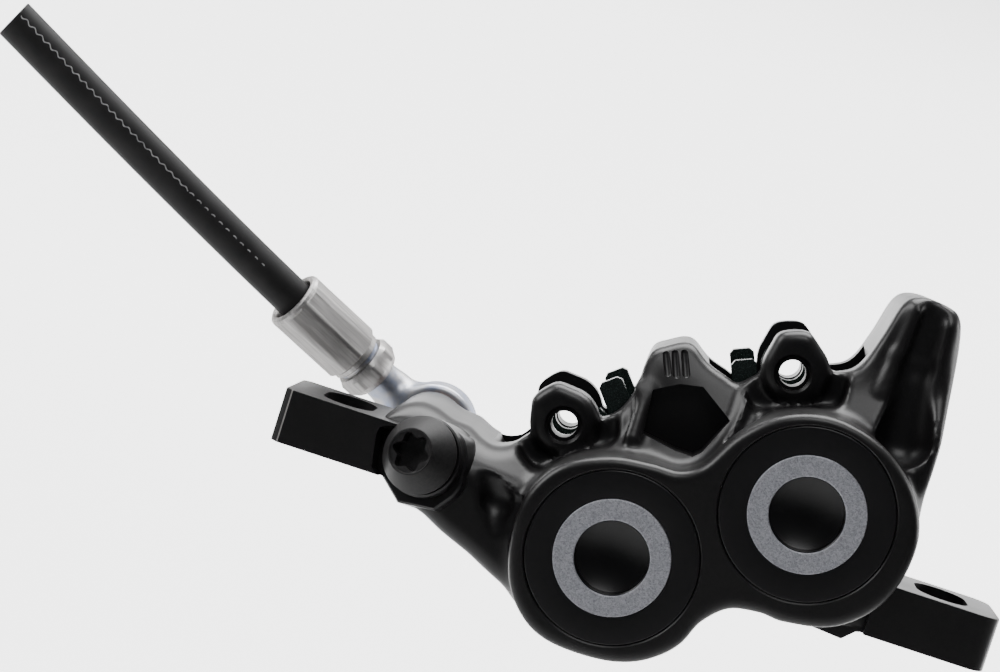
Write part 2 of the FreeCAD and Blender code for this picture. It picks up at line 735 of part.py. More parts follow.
# The cuts are made in turn, one kind at a time.
kinds = [
    ("RotorSlot",),
    ("Window",),
    ("Bore", "CapSeat", "SealGroove"),
    ("PinHole", "Spot", "Counter"),
    ("LeftSlot", "RightSlot", "BoltRoom"),
    ("Hump", "Port", "Bleed", "Horn"),
]
body = mass
for number, names in enumerate(kinds):
    tools = [tool for tool in cuts if tool.Name.startswith(names)]
    body = cut(f"Milled{number}", body, fuse(f"Tools{number}", tools) if len(tools) > 1 else tools[0])
node("caliper_body", body)

# Bore caps: flange in a counterbore, spigot behind it, an inlaid ring on the face
# and a drilled centre with a conical bottom.
for side in SIDES:
    px, pz = piston_x[side], piston_z[side]
    face = -S["outer_face"]
    inset = face + 0.35
    flange_back = face + S["cap_flange"]
    cap_back = face + S["cap_depth"]
    tag = side.title()
    cap = turned(
        "Cap" + tag,
        [
            (0.0, inset + S["drill_straight"] + S["drill_cone"]),
            (S["ring_inner"], inset + S["drill_straight"]),
            (S["ring_inner"], inset + S["ring_thick"]),
            (S["ring_outer"], inset + S["ring_thick"]),
            (S["ring_outer"], inset),
            (S["cap_radius"] - 0.25, inset),
            (S["cap_radius"], inset + 0.25),
            (S["cap_radius"], flange_back),
            (S["cap_spigot"], flange_back),
            (S["cap_spigot"], cap_back),
            (0.0, cap_back),
        ],
        px, 0.0, pz, FreeCAD.Vector(0, 1, 0),
    )
    node(f"bore_cap_{side}", cap)
    ring = turned(
        "CapRing" + tag,
        [
            (S["ring_inner"], inset),
            (S["ring_outer"], inset),
            (S["ring_outer"], inset + S["ring_thick"]),
            (S["ring_inner"], inset + S["ring_thick"]),
        ],
        px, 0.0, pz, FreeCAD.Vector(0, 1, 0),
    )
    node(f"cap_ring_{side}", ring)
    seal = turned(
        "CapSeal" + tag,
        [
            (S["cap_spigot"], flange_back),
            (S["bore_radius"], flange_back),
            (S["bore_radius"], flange_back + S["cap_seal_size"]),
            (S["cap_spigot"], flange_back + S["cap_seal_size"]),
        ],
        px, 0.0, pz, FreeCAD.Vector(0, 1, 0),
    )
    node(f"cap_seal_{side}", seal)

# Pistons, their seals and magnets, and the four pads.
plate_face = S["pad_gap"] / 2.0 + S["lining_thick"]
plate_back = plate_face + S["plate_thick"]


def spun(name, points, side, sign):
    """A turned part on a cylinder axis; the stations along Y follow the side of the rotor."""
    flipped = [(u, size(v) * sign) for u, v in points]
    return turned(name, flipped, piston_x[side], 0.0, piston_z[side], FreeCAD.Vector(0, 1, 0))


for sign, where in ((-1.0, "outboard"), (1.0, "inboard")):
    for side in SIDES:
        tag = where.title() + side.title()
        r = S["bore_radius"] - S["piston_gap"]
        front = plate_back
        back = plate_back + S["piston_length"]
        wall = S["piston_wall"]
        piston = spun(
            "Piston" + tag,
            [
                (0.0, front + 3.0),
                (S["magnet_radius"], front + 3.0),
                (S["magnet_radius"], front + 1.0),
                (r - wall, front + 1.0),
                (r - wall, front),
                (r - 0.3, front),
                (r, front + 0.3),
                (r, back - 0.6),
                (r - 0.6, back),
                (0.0, back),
            ],
            side, sign,
        )
        node(f"piston_{where}_{side}", piston)
        magnet = spun(
            "Magnet" + tag,
            [
                (0.0, front),
                (S["magnet_radius"], front),
                (S["magnet_radius"], front + 3.0),
                (0.0, front + 3.0),
            ],
            side, sign,
        )
        node(f"piston_magnet_{where}_{side}", magnet)
        seal = spun(
            "PistonSeal" + tag,
            [
                (S["bore_radius"] - 0.06, S["seal_place"] - S["seal_width"] / 2.0),
                (S["bore_radius"] + S["seal_depth"], S["seal_place"] - S["seal_width"] / 2.0),
                (S["bore_radius"] + S["seal_depth"], S["seal_place"] + S["seal_width"] / 2.0),
                (S["bore_radius"] - 0.06, S["seal_place"] + S["seal_width"] / 2.0),
            ],
            side, sign,
        )
        node(f"piston_seal_{where}_{side}", seal)
        low = plate_back * sign if sign < 0 else plate_face
        high = -plate_face if sign < 0 else plate_back
        p = S["pad_half"]
        foot = p - S["pad_taper"]
        base = prism(
            "PlateBase" + tag,
            [
                (-foot + 1.5, -S["pad_foot"]),
                (foot - 1.5, -S["pad_foot"]),
                (foot, -S["pad_foot"] + 2.0),
                (p, 4.0),
                (p, S["pad_shoulder"] - 1.6),
                (p - 1.6, S["pad_shoulder"]),
                (S["eyelet_radius"] + 1.6, S["pad_shoulder"] + 2.4),
                (S["eyelet_radius"], S["pin_height"]),
                (-S["eyelet_radius"], S["pin_height"]),
                (-S["eyelet_radius"] - 1.6, S["pad_shoulder"] + 2.4),
                (-p + 1.6, S["pad_shoulder"]),
                (-p, S["pad_shoulder"] - 1.6),
                (-p, 4.0),
                (-foot, -S["pad_foot"] + 2.0),
            ],
            low, high, piston_x[side], piston_z[side], angle[side],
        )
        head = cylinder("PlateHead" + tag, S["eyelet_radius"], pin_x[side], pin_z[side], low, high)
        t0 = S["tab_near"] * inward[side]
        t1 = (S["tab_near"] + S["tab_width"]) * inward[side]
        a, b = (t0, t1) if inward[side] > 0 else (t1, t0)
        tab = prism(
            "PlateTab" + tag,
            [(a, 5.0), (b, 5.0), (b, S["tab_height"] - 0.5), (b - 0.5, S["tab_height"]),
             (a + 0.5, S["tab_height"]), (a, S["tab_height"] - 0.5)],
            low, high, piston_x[side], piston_z[side], angle[side],
        )
        solid = fuse("PlateSolid" + tag, [base, head, tab])
        hole = cylinder("PlateHole" + tag, S["pin_radius"] + 0.15, pin_x[side], pin_z[side],
                        low - 1.0, high + 1.0)
        plate = cut("Plate" + tag, solid, hole)
        node(f"pad_plate_{where}_{side}", plate)
        e = S["lining_edge"]
        low = -plate_face if sign < 0 else S["pad_gap"] / 2.0
        high = -(S["pad_gap"] / 2.0) if sign < 0 else plate_face
        lining = prism(
            "Lining" + tag,
            [
                (-foot + e + 1.2, -S["pad_foot"] + e),
                (foot - e - 1.2, -S["pad_foot"] + e),
                (foot - e, -S["pad_foot"] + e + 1.6),
                (p - e, 4.0),
                (p - e, S["pad_shoulder"] - 2.4),
                (p - e - 1.6, S["pad_shoulder"] - e),
                (-p + e + 1.6, S["pad_shoulder"] - e),
                (-p + e, S["pad_shoulder"] - 2.4),
                (-p + e, 4.0),
                (-foot + e, -S["pad_foot"] + e + 1.6),
            ],
            low, high, piston_x[side], piston_z[side], angle[side],
        )
        node(f"pad_lining_{where}_{side}", lining)

# Bleed screw with a conical head and a six-lobe recess, over a sealing ring.
seat = S["bleed_reach"]
seal = cut(
    "BleedSeal",
    bleed_shape("Part::Cylinder", "BleedSealDisc", seat,
                {"Radius": S["bleed_neck"] - 0.3, "Height": S["bleed_seal"]}),
    bleed_shape("Part::Cylinder", "BleedSealHole", seat - 0.5,
                {"Radius": S["bleed_stem"], "Height": S["bleed_seal"] + 1.3}),
)
node("bleed_screw_seal", seal)
head = bleed_shape(
    "Part::Cone", "BleedHead", seat + S["bleed_seal"],
    {"Radius1": S["bleed_neck"], "Radius2": S["bleed_face"], "Height": S["bleed_height"] - S["bleed_seal"]},
)
stem = bleed_shape(
    "Part::Cylinder", "BleedStem", seat - 6.0,
    {"Radius": S["bleed_stem"] - 0.05, "Height": S["bleed_seal"] + 6.3},
)
screw = fuse("BleedSolid", [head, stem])
lobes = [
    bleed_shape("Part::Cylinder", "BleedRecess", seat + S["bleed_height"] - 2.0,
                {"Radius": S["bleed_socket"] * 0.76, "Height": size(3.0)})
]
for i in range(6):
    turn = math.radians(60.0 * i)
    lobe_cut = doc.addObject("Part::Cylinder", f"BleedLobe{i}")
    bind(lobe_cut, "Radius", S["bleed_socket"] * 0.26)
    lobe_cut.Height = 3.0
    reach = S["bleed_socket"] * 0.76
    side_way = bleed_axis.multVec(FreeCAD.Vector(math.cos(turn), math.sin(turn), 0))
    start = seat + S["bleed_height"] - 2.0
    place(
        lobe_cut,
        bleed_x + bleed_dx * start + reach * side_way.x,
        bleed_dy * start - S["outer_side"] + reach * side_way.y,
        S["bleed_z"] + bleed_dz * start + reach * side_way.z,
        bleed_axis,
    )
    lobes.append(lobe_cut)
node("bleed_screw", cut("BleedScrew", screw, fuse("BleedRecessAll", lobes)))

# Hose connection: banjo eye on its bolt between two washers, stem, fixed hexagon,
# threaded nose, union nut, olive, insert and the cut length of hose.
hx, hz = port_x, S["port_z"]
eye_start = S["port_face"] + S["seal_washer"]
eye_end = eye_start + S["eye_height"]
eye_middle = S["port_face"] + S["seal_washer"] + S["eye_height"] / 2.0
for tag, start in (("inner", S["port_face"]), ("outer", eye_end)):
    ring = cut(
        "Washer" + tag.title(),
        cylinder("WasherDisc" + tag.title(), S["washer_radius"], hx, hz, start, start + S["seal_washer"]),
        cylinder("WasherHole" + tag.title(), S["eye_bore"], hx, hz, start - 1.0, start + 3.0),
    )
    node(f"banjo_seal_{tag}", ring)
stem_rise = S["stem_rise"]
stem_dx = -cosine(stem_rise)
stem_dz = sine(stem_rise)
rise_a = S["hose_rise"]
lean_a = S["hose_lean"]
dx = -(cosine(rise_a) * cosine(lean_a))
dy = -sine(lean_a)
dz = sine(rise_a) * cosine(lean_a)
hose_dir = FreeCAD.Vector(dx.value, dy.value, dz.value)
hose_turn = FreeCAD.Rotation(FreeCAD.Vector(0, 0, 1), hose_dir)
stem_turn = FreeCAD.Rotation(
    FreeCAD.Vector(0, 0, 1), FreeCAD.Vector(stem_dx.value, 0, stem_dz.value)
)
elbow_x = hx + stem_dx * S["elbow"]
elbow_y = eye_middle
elbow_z = hz + stem_dz * S["elbow"]


def station(along_axis):
    """The point on the hose fitting axis that lies so far from the eye centre."""
    beyond = size(along_axis) - S["elbow"]
    return elbow_x + dx * beyond, elbow_y + dy * beyond, elbow_z + dz * beyond


def on_hose(kind, name, start, sizes, twist=0.0):
    """A primitive on the hose fitting axis, starting so far from the eye centre."""
    obj = doc.addObject(kind, name)
    for prop, x in sizes.items():
        bind(obj, prop, x)
    spin = hose_turn * FreeCAD.Rotation(FreeCAD.Vector(0, 0, 1), twist)
    place(obj, *station(start), spin)
    return obj


def hose_ring(name, points):
    """A part turned about the hose fitting axis; points are radius and station."""
    sketch = polygon(name + "Sketch", points)
    lay = hose_turn * FRONT_PLANE
    origin = station(0.0)
    place(sketch, *origin, lay)
    obj = doc.addObject("Part::Revolution", name)
    obj.Source = sketch
    obj.Axis = hose_dir
    obj.Base = FreeCAD.Vector(origin[0].value, origin[1].value, origin[2].value)
    obj.Angle = 360.0
    obj.Solid = True
    return obj


eye = cylinder("BanjoEye", S["eye_radius"], hx, hz, eye_start, eye_end)
stem_root = S["eye_bore"] + 0.3
neck = doc.addObject("Part::Cylinder", "BanjoNeck")
bind(neck, "Radius", S["stem_radius"])
bind(neck, "Height", S["elbow"] - stem_root)
place(neck, hx + stem_dx * stem_root, eye_middle, hz + stem_dz * stem_root, stem_turn)
knuckle = doc.addObject("Part::Sphere", "BanjoKnuckle")
bind(knuckle, "Radius", S["stem_radius"])
place(knuckle, elbow_x, elbow_y, elbow_z)
stem = on_hose("Part::Cylinder", "BanjoStem", S["elbow"],
               {"Radius": S["stem_radius"], "Height": S["nose_end"] - S["elbow"]})
hexagon = doc.addObject("Part::Prism", "BanjoHexagon")
hexagon.Polygon = 6
bind(hexagon, "Circumradius", S["hex_flat"] / cosine(size(30.0)))
bind(hexagon, "Height", S["hex_end"] - S["hex_start"])
place(hexagon, *station(S["hex_start"]), hose_turn)
nose = on_hose("Part::Cylinder", "BanjoNose", S["stem_end"],
               {"Radius": S["nose_radius"], "Height": S["nose_end"] - S["stem_end"]})
banjo_mass = fuse("BanjoMass", [eye, neck, knuckle, stem, hexagon, nose])
neck_passage = doc.addObject("Part::Cylinder", "BanjoNeckPassage")
bind(neck_passage, "Radius", S["passage"])
bind(neck_passage, "Height", S["elbow"] + 0.4)
place(neck_passage, hx, eye_middle, hz, stem_turn)
banjo_cuts = fuse(
    "BanjoCuts",
    [
        cylinder("BanjoBore", S["eye_bore"], hx, hz, eye_start - 1.0, eye_end + 1.0),
        on_hose("Part::Cylinder", "BanjoPassage", S["elbow"] - 0.6,
                {"Radius": S["passage"], "Height": S["nose_end"] - S["elbow"] + 2.0}),
        neck_passage,
        on_hose("Part::Cylinder", "BanjoInsertRoom", S["nose_end"] - 1.0,
                {"Radius": size(1.6), "Height": size(3.0)}),
    ],
)
node("banjo_fitting", cut("BanjoFitting", banjo_mass, banjo_cuts))

bolt_shank = cylinder("BoltShank", S["bolt_radius"], hx, hz, S["port_face"] - S["bolt_depth"],
                      eye_end + S["seal_washer"] + 0.5)
bolt_head = cylinder("BoltHead", S["head_radius"], hx, hz, eye_end + S["seal_washer"],
                     eye_end + S["seal_washer"] + S["head_height"])
bolt_head_round = rounded(
    "BoltHeadRound", bolt_head, at_y(eye_end + S["seal_washer"] + S["head_height"]), 0.5
)
socket = doc.addObject("Part::Prism", "BoltSocket")
socket.Polygon = 6
bind(socket, "Circumradius", S["head_socket"] / cosine(size(30.0)))
bind(socket, "Height", S["head_height"])
place(socket, hx, eye_end + S["seal_washer"] + 1.4, hz, ALONG_Y)
passage = cylinder("BoltPassage", size(1.1), hx, hz, S["port_face"] - S["bolt_depth"] - 1.0, eye_middle)
bolt = cut("BanjoBolt", fuse("BoltMass", [bolt_shank, bolt_head_round]), fuse("BoltCuts", [socket, passage]))
node("banjo_bolt", bolt)

thread_room = S["nose_radius"] + 0.05
hose_room = S["nut_mouth"]
n0, n1 = S["nut_start"], S["nut_end"]
olive_start = S["nose_end"]
olive_end = olive_start + S["olive_length"]
nut = hose_ring(
    "UnionNut",
    [
        (thread_room, n0),
        (S["nut_radius"] - 0.45, n0),
        (S["nut_radius"], n0 + 0.45),
        (S["nut_radius"], n1 - 0.55),
        (S["nut_radius"] - 0.55, n1),
        (hose_room + 0.35, n1),
        (hose_room, n1 - 0.35),
        (hose_room, olive_end + 0.4),
        (thread_room, olive_end),
    ],
)
node("union_nut", nut)
olive = hose_ring(
    "Olive",
    [
        (S["hose_radius"], olive_start + 1.0),
        (S["hose_radius"] + 0.25, olive_start + 1.0),
        (thread_room - 0.05, olive_start + 1.6),
        (thread_room - 0.05, olive_end - 0.4),
        (S["hose_radius"] + 0.25, olive_end),
        (S["hose_radius"], olive_end),
    ],
)
node("compression_olive", olive)
insert = hose_ring(
    "HoseInsert",
    [
        (S["insert_bore"], olive_start),
        (S["insert_flange"], olive_start),
        (S["insert_flange"], S["hose_seat"]),
        (S["hose_bore"], S["hose_seat"]),
        (S["hose_bore"], S["hose_seat"] + S["insert_length"]),
        (S["insert_bore"], S["hose_seat"] + S["insert_length"]),
    ],
)
node("hose_insert", insert)

# The hose leaves the nut along the fitting axis, then bends gently upward.
start = FreeCAD.Vector(*[c.value for c in station(S["hose_seat"])])
first_run = S["hose_run"].value
bend_rise = math.radians(rise_a.value + S["hose_bend"].value)
bend_lean = math.radians(lean_a.value + S["hose_drift"].value)
end_dir = FreeCAD.Vector(
    -math.cos(bend_rise) * math.cos(bend_lean),
    -math.sin(bend_lean),
    math.sin(bend_rise) * math.cos(bend_lean),
)
route = [start, start + hose_dir * first_run]
route.append(route[1] + end_dir * (S["hose_length"].value - first_run))


def bent_wire(points):
    """Straight runs joined by tangent arcs as large as the two runs allow."""
    edges = []
    here = points[0]
    for i in range(1, len(points) - 1):
        a, b, c = points[i - 1], points[i], points[i + 1]
        u = (b - a).normalize()
        v = (c - b).normalize()
        half_turn = math.acos(max(-1.0, min(1.0, u.dot(v)))) / 2.0
        shorter = min((b - a).Length, (c - b).Length)
        trim = 0.45 * shorter
        radius = trim / math.tan(half_turn)
        print("hose arc radius", round(radius, 1), "turn", round(math.degrees(2 * half_turn), 2))
        first = b - u * trim
        last = b + v * trim
        toward = ((v - u).normalize()) * (radius * (1.0 / math.cos(half_turn) - 1.0))
        edges.append(Part.LineSegment(here, first).toShape())
        edges.append(Part.Arc(first, b + toward, last).toShape())
        here = last
    edges.append(Part.LineSegment(here, points[-1]).toShape())
    return Part.Wire(edges)


spine = bent_wire(route)


def tube_along(wire, radius, direction):
    section = Part.Wire([Part.makeCircle(radius, wire.Vertexes[0].Point, direction)])
    return wire.makePipeShell([section], True, True)


hose = doc.addObject("Part::Feature", "BrakeHose")
outer_tube = tube_along(spine, S["hose_radius"].value, hose_dir)
inner_tube = tube_along(spine, S["hose_bore"].value, hose_dir)
hose.Shape = outer_tube.cut(inner_tube)
node("brake_hose", hose)
section_area = math.pi * (S["hose_radius"].value ** 2 - S["hose_bore"].value ** 2)
print("hose volume ratio", round(hose.Shape.Volume / (section_area * spine.Length), 4))
print("hose length", round(spine.Length, 2), "end", route[-1])

doc.recompute()

for obj in doc.Objects:
    if "Invalid" in obj.State or "Error" in obj.State:
        raise RuntimeError(f"{obj.Name} failed: {obj.State}")
for name, obj in NODES.items():
    shape = obj.Shape
    if shape.isNull() or not shape.isValid() or len(shape.Solids) != 1:
        raise RuntimeError(f"{name} is not one valid solid: {len(shape.Solids)}")

os.makedirs("parts", exist_ok=True)
facets = 0
for name, obj in NODES.items():
    obj.Shape.exportStep(f"parts/{name}.step")
    count = len(obj.Shape.tessellate(0.1)[1])
    facets += count
    b = obj.Shape.BoundBox
    print(f"{name:32s} vol {obj.Shape.Volume:9.1f} tri {count:5d} "
          f"x {b.XMin:6.1f} {b.XMax:6.1f} y {b.YMin:6.1f} {b.YMax:6.1f} z {b.ZMin:6.1f} {b.ZMax:6.1f}")
print("nodes", len(NODES), "facets", facets)
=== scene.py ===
import json
import math

import bmesh
import bpy
import numpy as np
from mathutils import Matrix, Vector


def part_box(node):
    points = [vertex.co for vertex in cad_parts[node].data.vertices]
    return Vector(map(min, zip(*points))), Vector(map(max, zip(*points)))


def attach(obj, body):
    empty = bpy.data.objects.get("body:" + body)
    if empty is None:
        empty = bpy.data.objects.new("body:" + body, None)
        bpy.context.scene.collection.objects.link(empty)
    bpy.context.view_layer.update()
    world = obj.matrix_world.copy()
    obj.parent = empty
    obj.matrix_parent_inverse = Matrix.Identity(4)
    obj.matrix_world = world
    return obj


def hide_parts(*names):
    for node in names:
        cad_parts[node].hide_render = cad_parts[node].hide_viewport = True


# The dressed hydraulic disc brake. Shapes are worked out in millimetres in the part's own
# frame (X to the far ear, Y inboard, Z up along the mounting bolts) and stored in metres.
MM = 0.001

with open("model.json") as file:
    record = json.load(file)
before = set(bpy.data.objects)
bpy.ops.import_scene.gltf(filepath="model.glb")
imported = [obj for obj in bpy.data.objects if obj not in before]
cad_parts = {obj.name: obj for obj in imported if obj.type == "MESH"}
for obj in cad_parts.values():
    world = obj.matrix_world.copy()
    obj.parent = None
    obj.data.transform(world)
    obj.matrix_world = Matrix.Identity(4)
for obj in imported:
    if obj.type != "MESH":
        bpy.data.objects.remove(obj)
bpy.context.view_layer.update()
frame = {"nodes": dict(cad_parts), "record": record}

# Camera: the photographed view, rolled clockwise, a little above the caliper.
CAMERA_PLACE = (-4.399, -297.178, 41.660)
CAMERA_TURN = (85.3526, -17.6185, 4.9501)
CAMERA_LENS = 87.12


def make_camera():
    data = bpy.data.cameras.new("Camera")
    data.lens = CAMERA_LENS
    data.sensor_width = 36.0
    data.clip_start = 0.01
    data.clip_end = 20.0
    camera = bpy.data.objects.new("Camera", data)
    camera.location = Vector(CAMERA_PLACE) * MM
    camera.rotation_euler = [math.radians(a) for a in CAMERA_TURN]
    bpy.context.scene.collection.objects.link(camera)
    bpy.context.scene.camera = camera


make_camera()


def centre_of(node):
    low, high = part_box(node)
    return (low + high) / 2.0 / MM


# Places read from the frame: cylinders, hose port, and the directions that follow.
SIDES = ("left", "right")
PISTON = {side: centre_of(f"bore_cap_{side}") for side in SIDES}
ROTOR = Vector((50.0, 0.0, -63.9))
PIN = {"left": Vector((-11.7, 0.0, 11.6)), "right": Vector((12.25, 0.0, 25.8))}
SLOT_X = 37.0
EAR_Y = -8.8


def pad_up(side):
    """The direction from the rotor centre through a piston, in the XZ plane."""
    d = PISTON[side] - ROTOR
    return Vector((d.x, 0.0, d.z)).normalized()


PORT = centre_of("banjo_bolt")

# Hose: the cut length that the photograph shows, from its square end inside the nut to its
# slanted cut end. The tip is given ring by ring: a radius and how far it stands back.
HOSE_ROUTE = [(-43.103, 6.539, 11.438), (-59.475, -0.953, 20.144), (-88.700, -13.400, 37.840)]
HOSE_RADIUS = 2.5
HOSE_AXIS = Vector((-0.8186, -0.3746, 0.4353)).normalized()
HOSE_SIDES = 64
HOSE_CUT = Vector((-0.46, 0.0, -0.89))
HOSE_RIM = 0.12
HOSE_TIP = ((HOSE_RADIUS - HOSE_RIM, 0.0), (1.35, 0.0), (1.2, 0.15), (1.15, 2.0))


def add_object(name, data, material=None):
    obj = bpy.data.objects.new(name, data)
    bpy.context.scene.collection.objects.link(obj)
    if material is not None:
        data.materials.append(material)
    return obj


def outward(obj):
    """Turns every face to point out of the closed solid."""
    work = bmesh.new()
    work.from_mesh(obj.data)
    bmesh.ops.recalc_face_normals(work, faces=work.faces)
    work.to_mesh(obj.data)
    work.free()


def solid(name, points, faces, material=None):
    """A closed solid from points in metres."""
    mesh = bpy.data.meshes.new(name)
    mesh.from_pydata(points, [], faces)
    obj = add_object(name, mesh, material)
    outward(obj)
    return obj


def across_axis(axis):
    """Two unit vectors square to the axis and to each other."""
    axis = axis.normalized()
    helper = Vector((0.0, 0.0, 1.0)) if abs(axis.z) < 0.9 else Vector((1.0, 0.0, 0.0))
    u = helper.cross(axis).normalized()
    return u, axis.cross(u)


def route_line(points):
    """The points of a NURBS spline that has the route as its control points, in millimetres."""
    data = bpy.data.curves.new("route", "CURVE")
    data.dimensions = "3D"
    data.resolution_u = 64
    spline = data.splines.new("NURBS")
    spline.points.add(len(points) - 1)
    for point, place in zip(spline.points, points):
        point.co = (place[0] * MM, place[1] * MM, place[2] * MM, 1.0)
    spline.order_u = 3
    spline.use_endpoint_u = True
    bare = bpy.data.objects.new("route", data)
    mesh = bpy.data.meshes.new_from_object(bare)
    line = [Vector(v.co) / MM for v in mesh.vertices]
    bpy.data.meshes.remove(mesh)
    bpy.data.objects.remove(bare)
    bpy.data.curves.remove(data)
    return line


def cut_ring(middle, along, radius, slant):
    """A ring of the tube; the slanted cut at its free end stands edge-on to the camera."""
    u, v = across_axis(along)
    ring = []
    for i in range(HOSE_SIDES):
        a = 2.0 * math.pi * i / HOSE_SIDES
        spoke = (u * math.cos(a) + v * math.sin(a)) * radius
        if slant is not None:
            spoke -= along * (spoke.dot(slant) / along.dot(slant))
        ring.append(middle + spoke)
    return ring


def make_hose(line):
    """The jacket with its square near end and its cut end: liner, bore and a softened rim."""
    rings = []
    for i, middle in enumerate(line):
        along = (line[min(i + 1, len(line) - 1)] - line[max(i - 1, 0)]).normalized()
        rings.append(cut_ring(middle, along, HOSE_RADIUS, None))
    tip = line[-1]
    along = (line[-1] - line[-2]).normalized()
    sight = (tip - Vector(CAMERA_PLACE)).normalized()
    slant = sight.cross(HOSE_CUT).normalized()
    rings[-1] = cut_ring(tip - along * HOSE_RIM, along, HOSE_RADIUS, slant)
    for radius, back in HOSE_TIP:
        rings.append(cut_ring(tip - along * back, along, radius, slant))
    points = [p for ring in rings for p in ring]
    faces = [tuple(range(HOSE_SIDES)), tuple(range(len(points) - HOSE_SIDES, len(points)))]
    for start in range(0, len(points) - HOSE_SIDES, HOSE_SIDES):
        for i in range(HOSE_SIDES):
            j = (i + 1) % HOSE_SIDES
            faces.append((start + i, start + j, start + HOSE_SIDES + j, start + HOSE_SIDES + i))
    obj = solid("hose_cover", [tuple(p * MM) for p in points], faces)
    obj.data.shade_smooth()
    obj.data.set_sharp_from_angle(angle=math.radians(40.0))
    return obj


HOSE_LINE = route_line(HOSE_ROUTE)
hose = make_hose(HOSE_LINE)
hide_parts("brake_hose")
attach(hose, "hose_line")


# Materials: each one is a small node network on a Principled shader.
def new_material(name, colour, metallic, roughness):
    material = bpy.data.materials.new(name)
    material.use_nodes = True
    shader = material.node_tree.nodes["Principled BSDF"]
    shader.inputs["Base Color"].default_value = (*colour, 1.0)
    shader.inputs["Metallic"].default_value = metallic
    shader.inputs["Roughness"].default_value = roughness
    return material, shader


def add_node(material, kind, **settings):
    node = material.node_tree.nodes.new(kind)
    for key, value in settings.items():
        setattr(node, key, value)
    return node


def link(material, source, target):
    material.node_tree.links.new(source, target)


def object_coordinates(material):
    """Object coordinates in millimetres."""
    place = add_node(material, "ShaderNodeTexCoord")
    mapping = add_node(material, "ShaderNodeMapping")
    mapping.inputs["Scale"].default_value = [1.0 / MM] * 3
    link(material, place.outputs["Object"], mapping.inputs["Vector"])
    return mapping.outputs["Vector"]


def split_coordinates(material):
    """The separate object coordinates, in metres."""
    place = add_node(material, "ShaderNodeTexCoord")
    parts = add_node(material, "ShaderNodeSeparateXYZ")
    link(material, place.outputs["Object"], parts.inputs["Vector"])
    return parts.outputs


def combine(material, operation, *values):
    """A maths node whose inputs are numbers or sockets."""
    node = add_node(material, "ShaderNodeMath", operation=operation)
    for socket, value in zip(node.inputs, values):
        if isinstance(value, float):
            socket.default_value = value
        else:
            link(material, value, socket)
    return node.outputs["Value"]


def noise(material, vector, scale, detail=3.0, roughness=0.5):
    node = add_node(material, "ShaderNodeTexNoise")
    node.inputs["Scale"].default_value = scale
    node.inputs["Detail"].default_value = detail
    node.inputs["Roughness"].default_value = roughness
    link(material, vector, node.inputs["Vector"])
    return node.outputs["Fac"]


def ramp(material, factor, low, high, start=0.3, end=0.7):
    """A colour ramp between two colours."""
    node = add_node(material, "ShaderNodeValToRGB")
    node.color_ramp.elements[0].position = start
    node.color_ramp.elements[0].color = (*low, 1.0)
    node.color_ramp.elements[1].position = end
    node.color_ramp.elements[1].color = (*high, 1.0)
    link(material, factor, node.inputs["Fac"])
    return node.outputs["Color"]


def spread(material, factor, low, high, start=0.0, end=1.0, **settings):
    """A number that runs from low to high while the factor runs from start to end."""
    node = add_node(material, "ShaderNodeMapRange", **settings)
    for name, value in (("From Min", start), ("From Max", end), ("To Min", low), ("To Max", high)):
        node.inputs[name].default_value = value
    link(material, factor, node.inputs["Value"])
    return node.outputs["Result"]


def bump(material, shader, height, strength, distance):
    node = add_node(material, "ShaderNodeBump")
    node.inputs["Strength"].default_value = strength
    node.inputs["Distance"].default_value = distance * MM
    link(material, height, node.inputs["Height"])
    link(material, node.outputs["Normal"], shader.inputs["Normal"])


# Painted highlight: a thin band of lighter base colour along the left ear's chamfer edge, standing in for an
# edge highlight.
PAINTED_HIGHLIGHT_EDGE = {"x": -43.22, "front": -15.5, "half": 0.09}
PAINTED_HIGHLIGHT_COLOUR = (0.30, 0.29, 0.28, 1.0)


def painted_edge_highlight(m, skin):
    """A painted highlight: a lighter base colour along the front edge of the left ear's end chamfer."""
    parts = split_coordinates(m)
    near = combine(m, "COMPARE", parts["X"], PAINTED_HIGHLIGHT_EDGE["x"] * MM, PAINTED_HIGHLIGHT_EDGE["half"] * MM)
    front = combine(m, "LESS_THAN", parts["Y"], PAINTED_HIGHLIGHT_EDGE["front"] * MM)
    mix = add_node(m, "ShaderNodeMix", data_type="RGBA")
    link(m, combine(m, "MULTIPLY", near, front), mix.inputs["Factor"])
    link(m, skin, mix.inputs[6])
    mix.inputs[7].default_value = PAINTED_HIGHLIGHT_COLOUR
    return mix.outputs[2]


def finish(
    name, colour, metallic, roughness, grain, tone=None, gloss=None,
    specular=None, relief=None, cloud=None, tint=None, streaks=None,
):
    """A finish from a grain: its tone, unless a cloud carries that, its gloss and its relief."""
    m, shader = new_material(name, colour, metallic, roughness)
    at = object_coordinates(m) if streaks is None else grain_along(m, *streaks)
    fine = noise(m, at, *grain)
    broad = fine if cloud is None else noise(m, at, *cloud)
    if tone is not None:
        link(m, ramp(m, broad, *tone), shader.inputs["Base Color"])
    if gloss is not None:
        link(m, spread(m, fine, *gloss), shader.inputs["Roughness"])
    if specular is not None:
        shader.inputs["Specular IOR Level"].default_value = specular
    if tint is not None:
        shader.inputs["Specular Tint"].default_value = (*tint, 1.0)
    if relief is not None:
        bump(m, shader, fine, *relief)
    return m


def black_anodised():
    """Satin black over milled metal: fine pores, softer patches and a painted highlight along one edge."""
    m, shader = new_material("black_anodised", (0.006, 0.0055, 0.006), 0.0, 0.26)
    at = object_coordinates(m)
    patches = noise(m, at, 0.12, 3.0)
    pores = noise(m, at, 5.0, 4.0, 0.7)
    skin = ramp(m, pores, (0.004, 0.0036, 0.004), (0.0085, 0.0078, 0.0083))
    # The base colour carries a painted highlight along the left ear's chamfer edge.
    link(m, painted_edge_highlight(m, skin), shader.inputs["Base Color"])
    link(m, spread(m, patches, 0.30, 0.44), shader.inputs["Roughness"])
    shader.inputs["Specular IOR Level"].default_value = 0.42
    bump(m, shader, pores, 0.12, 0.02)
    return m


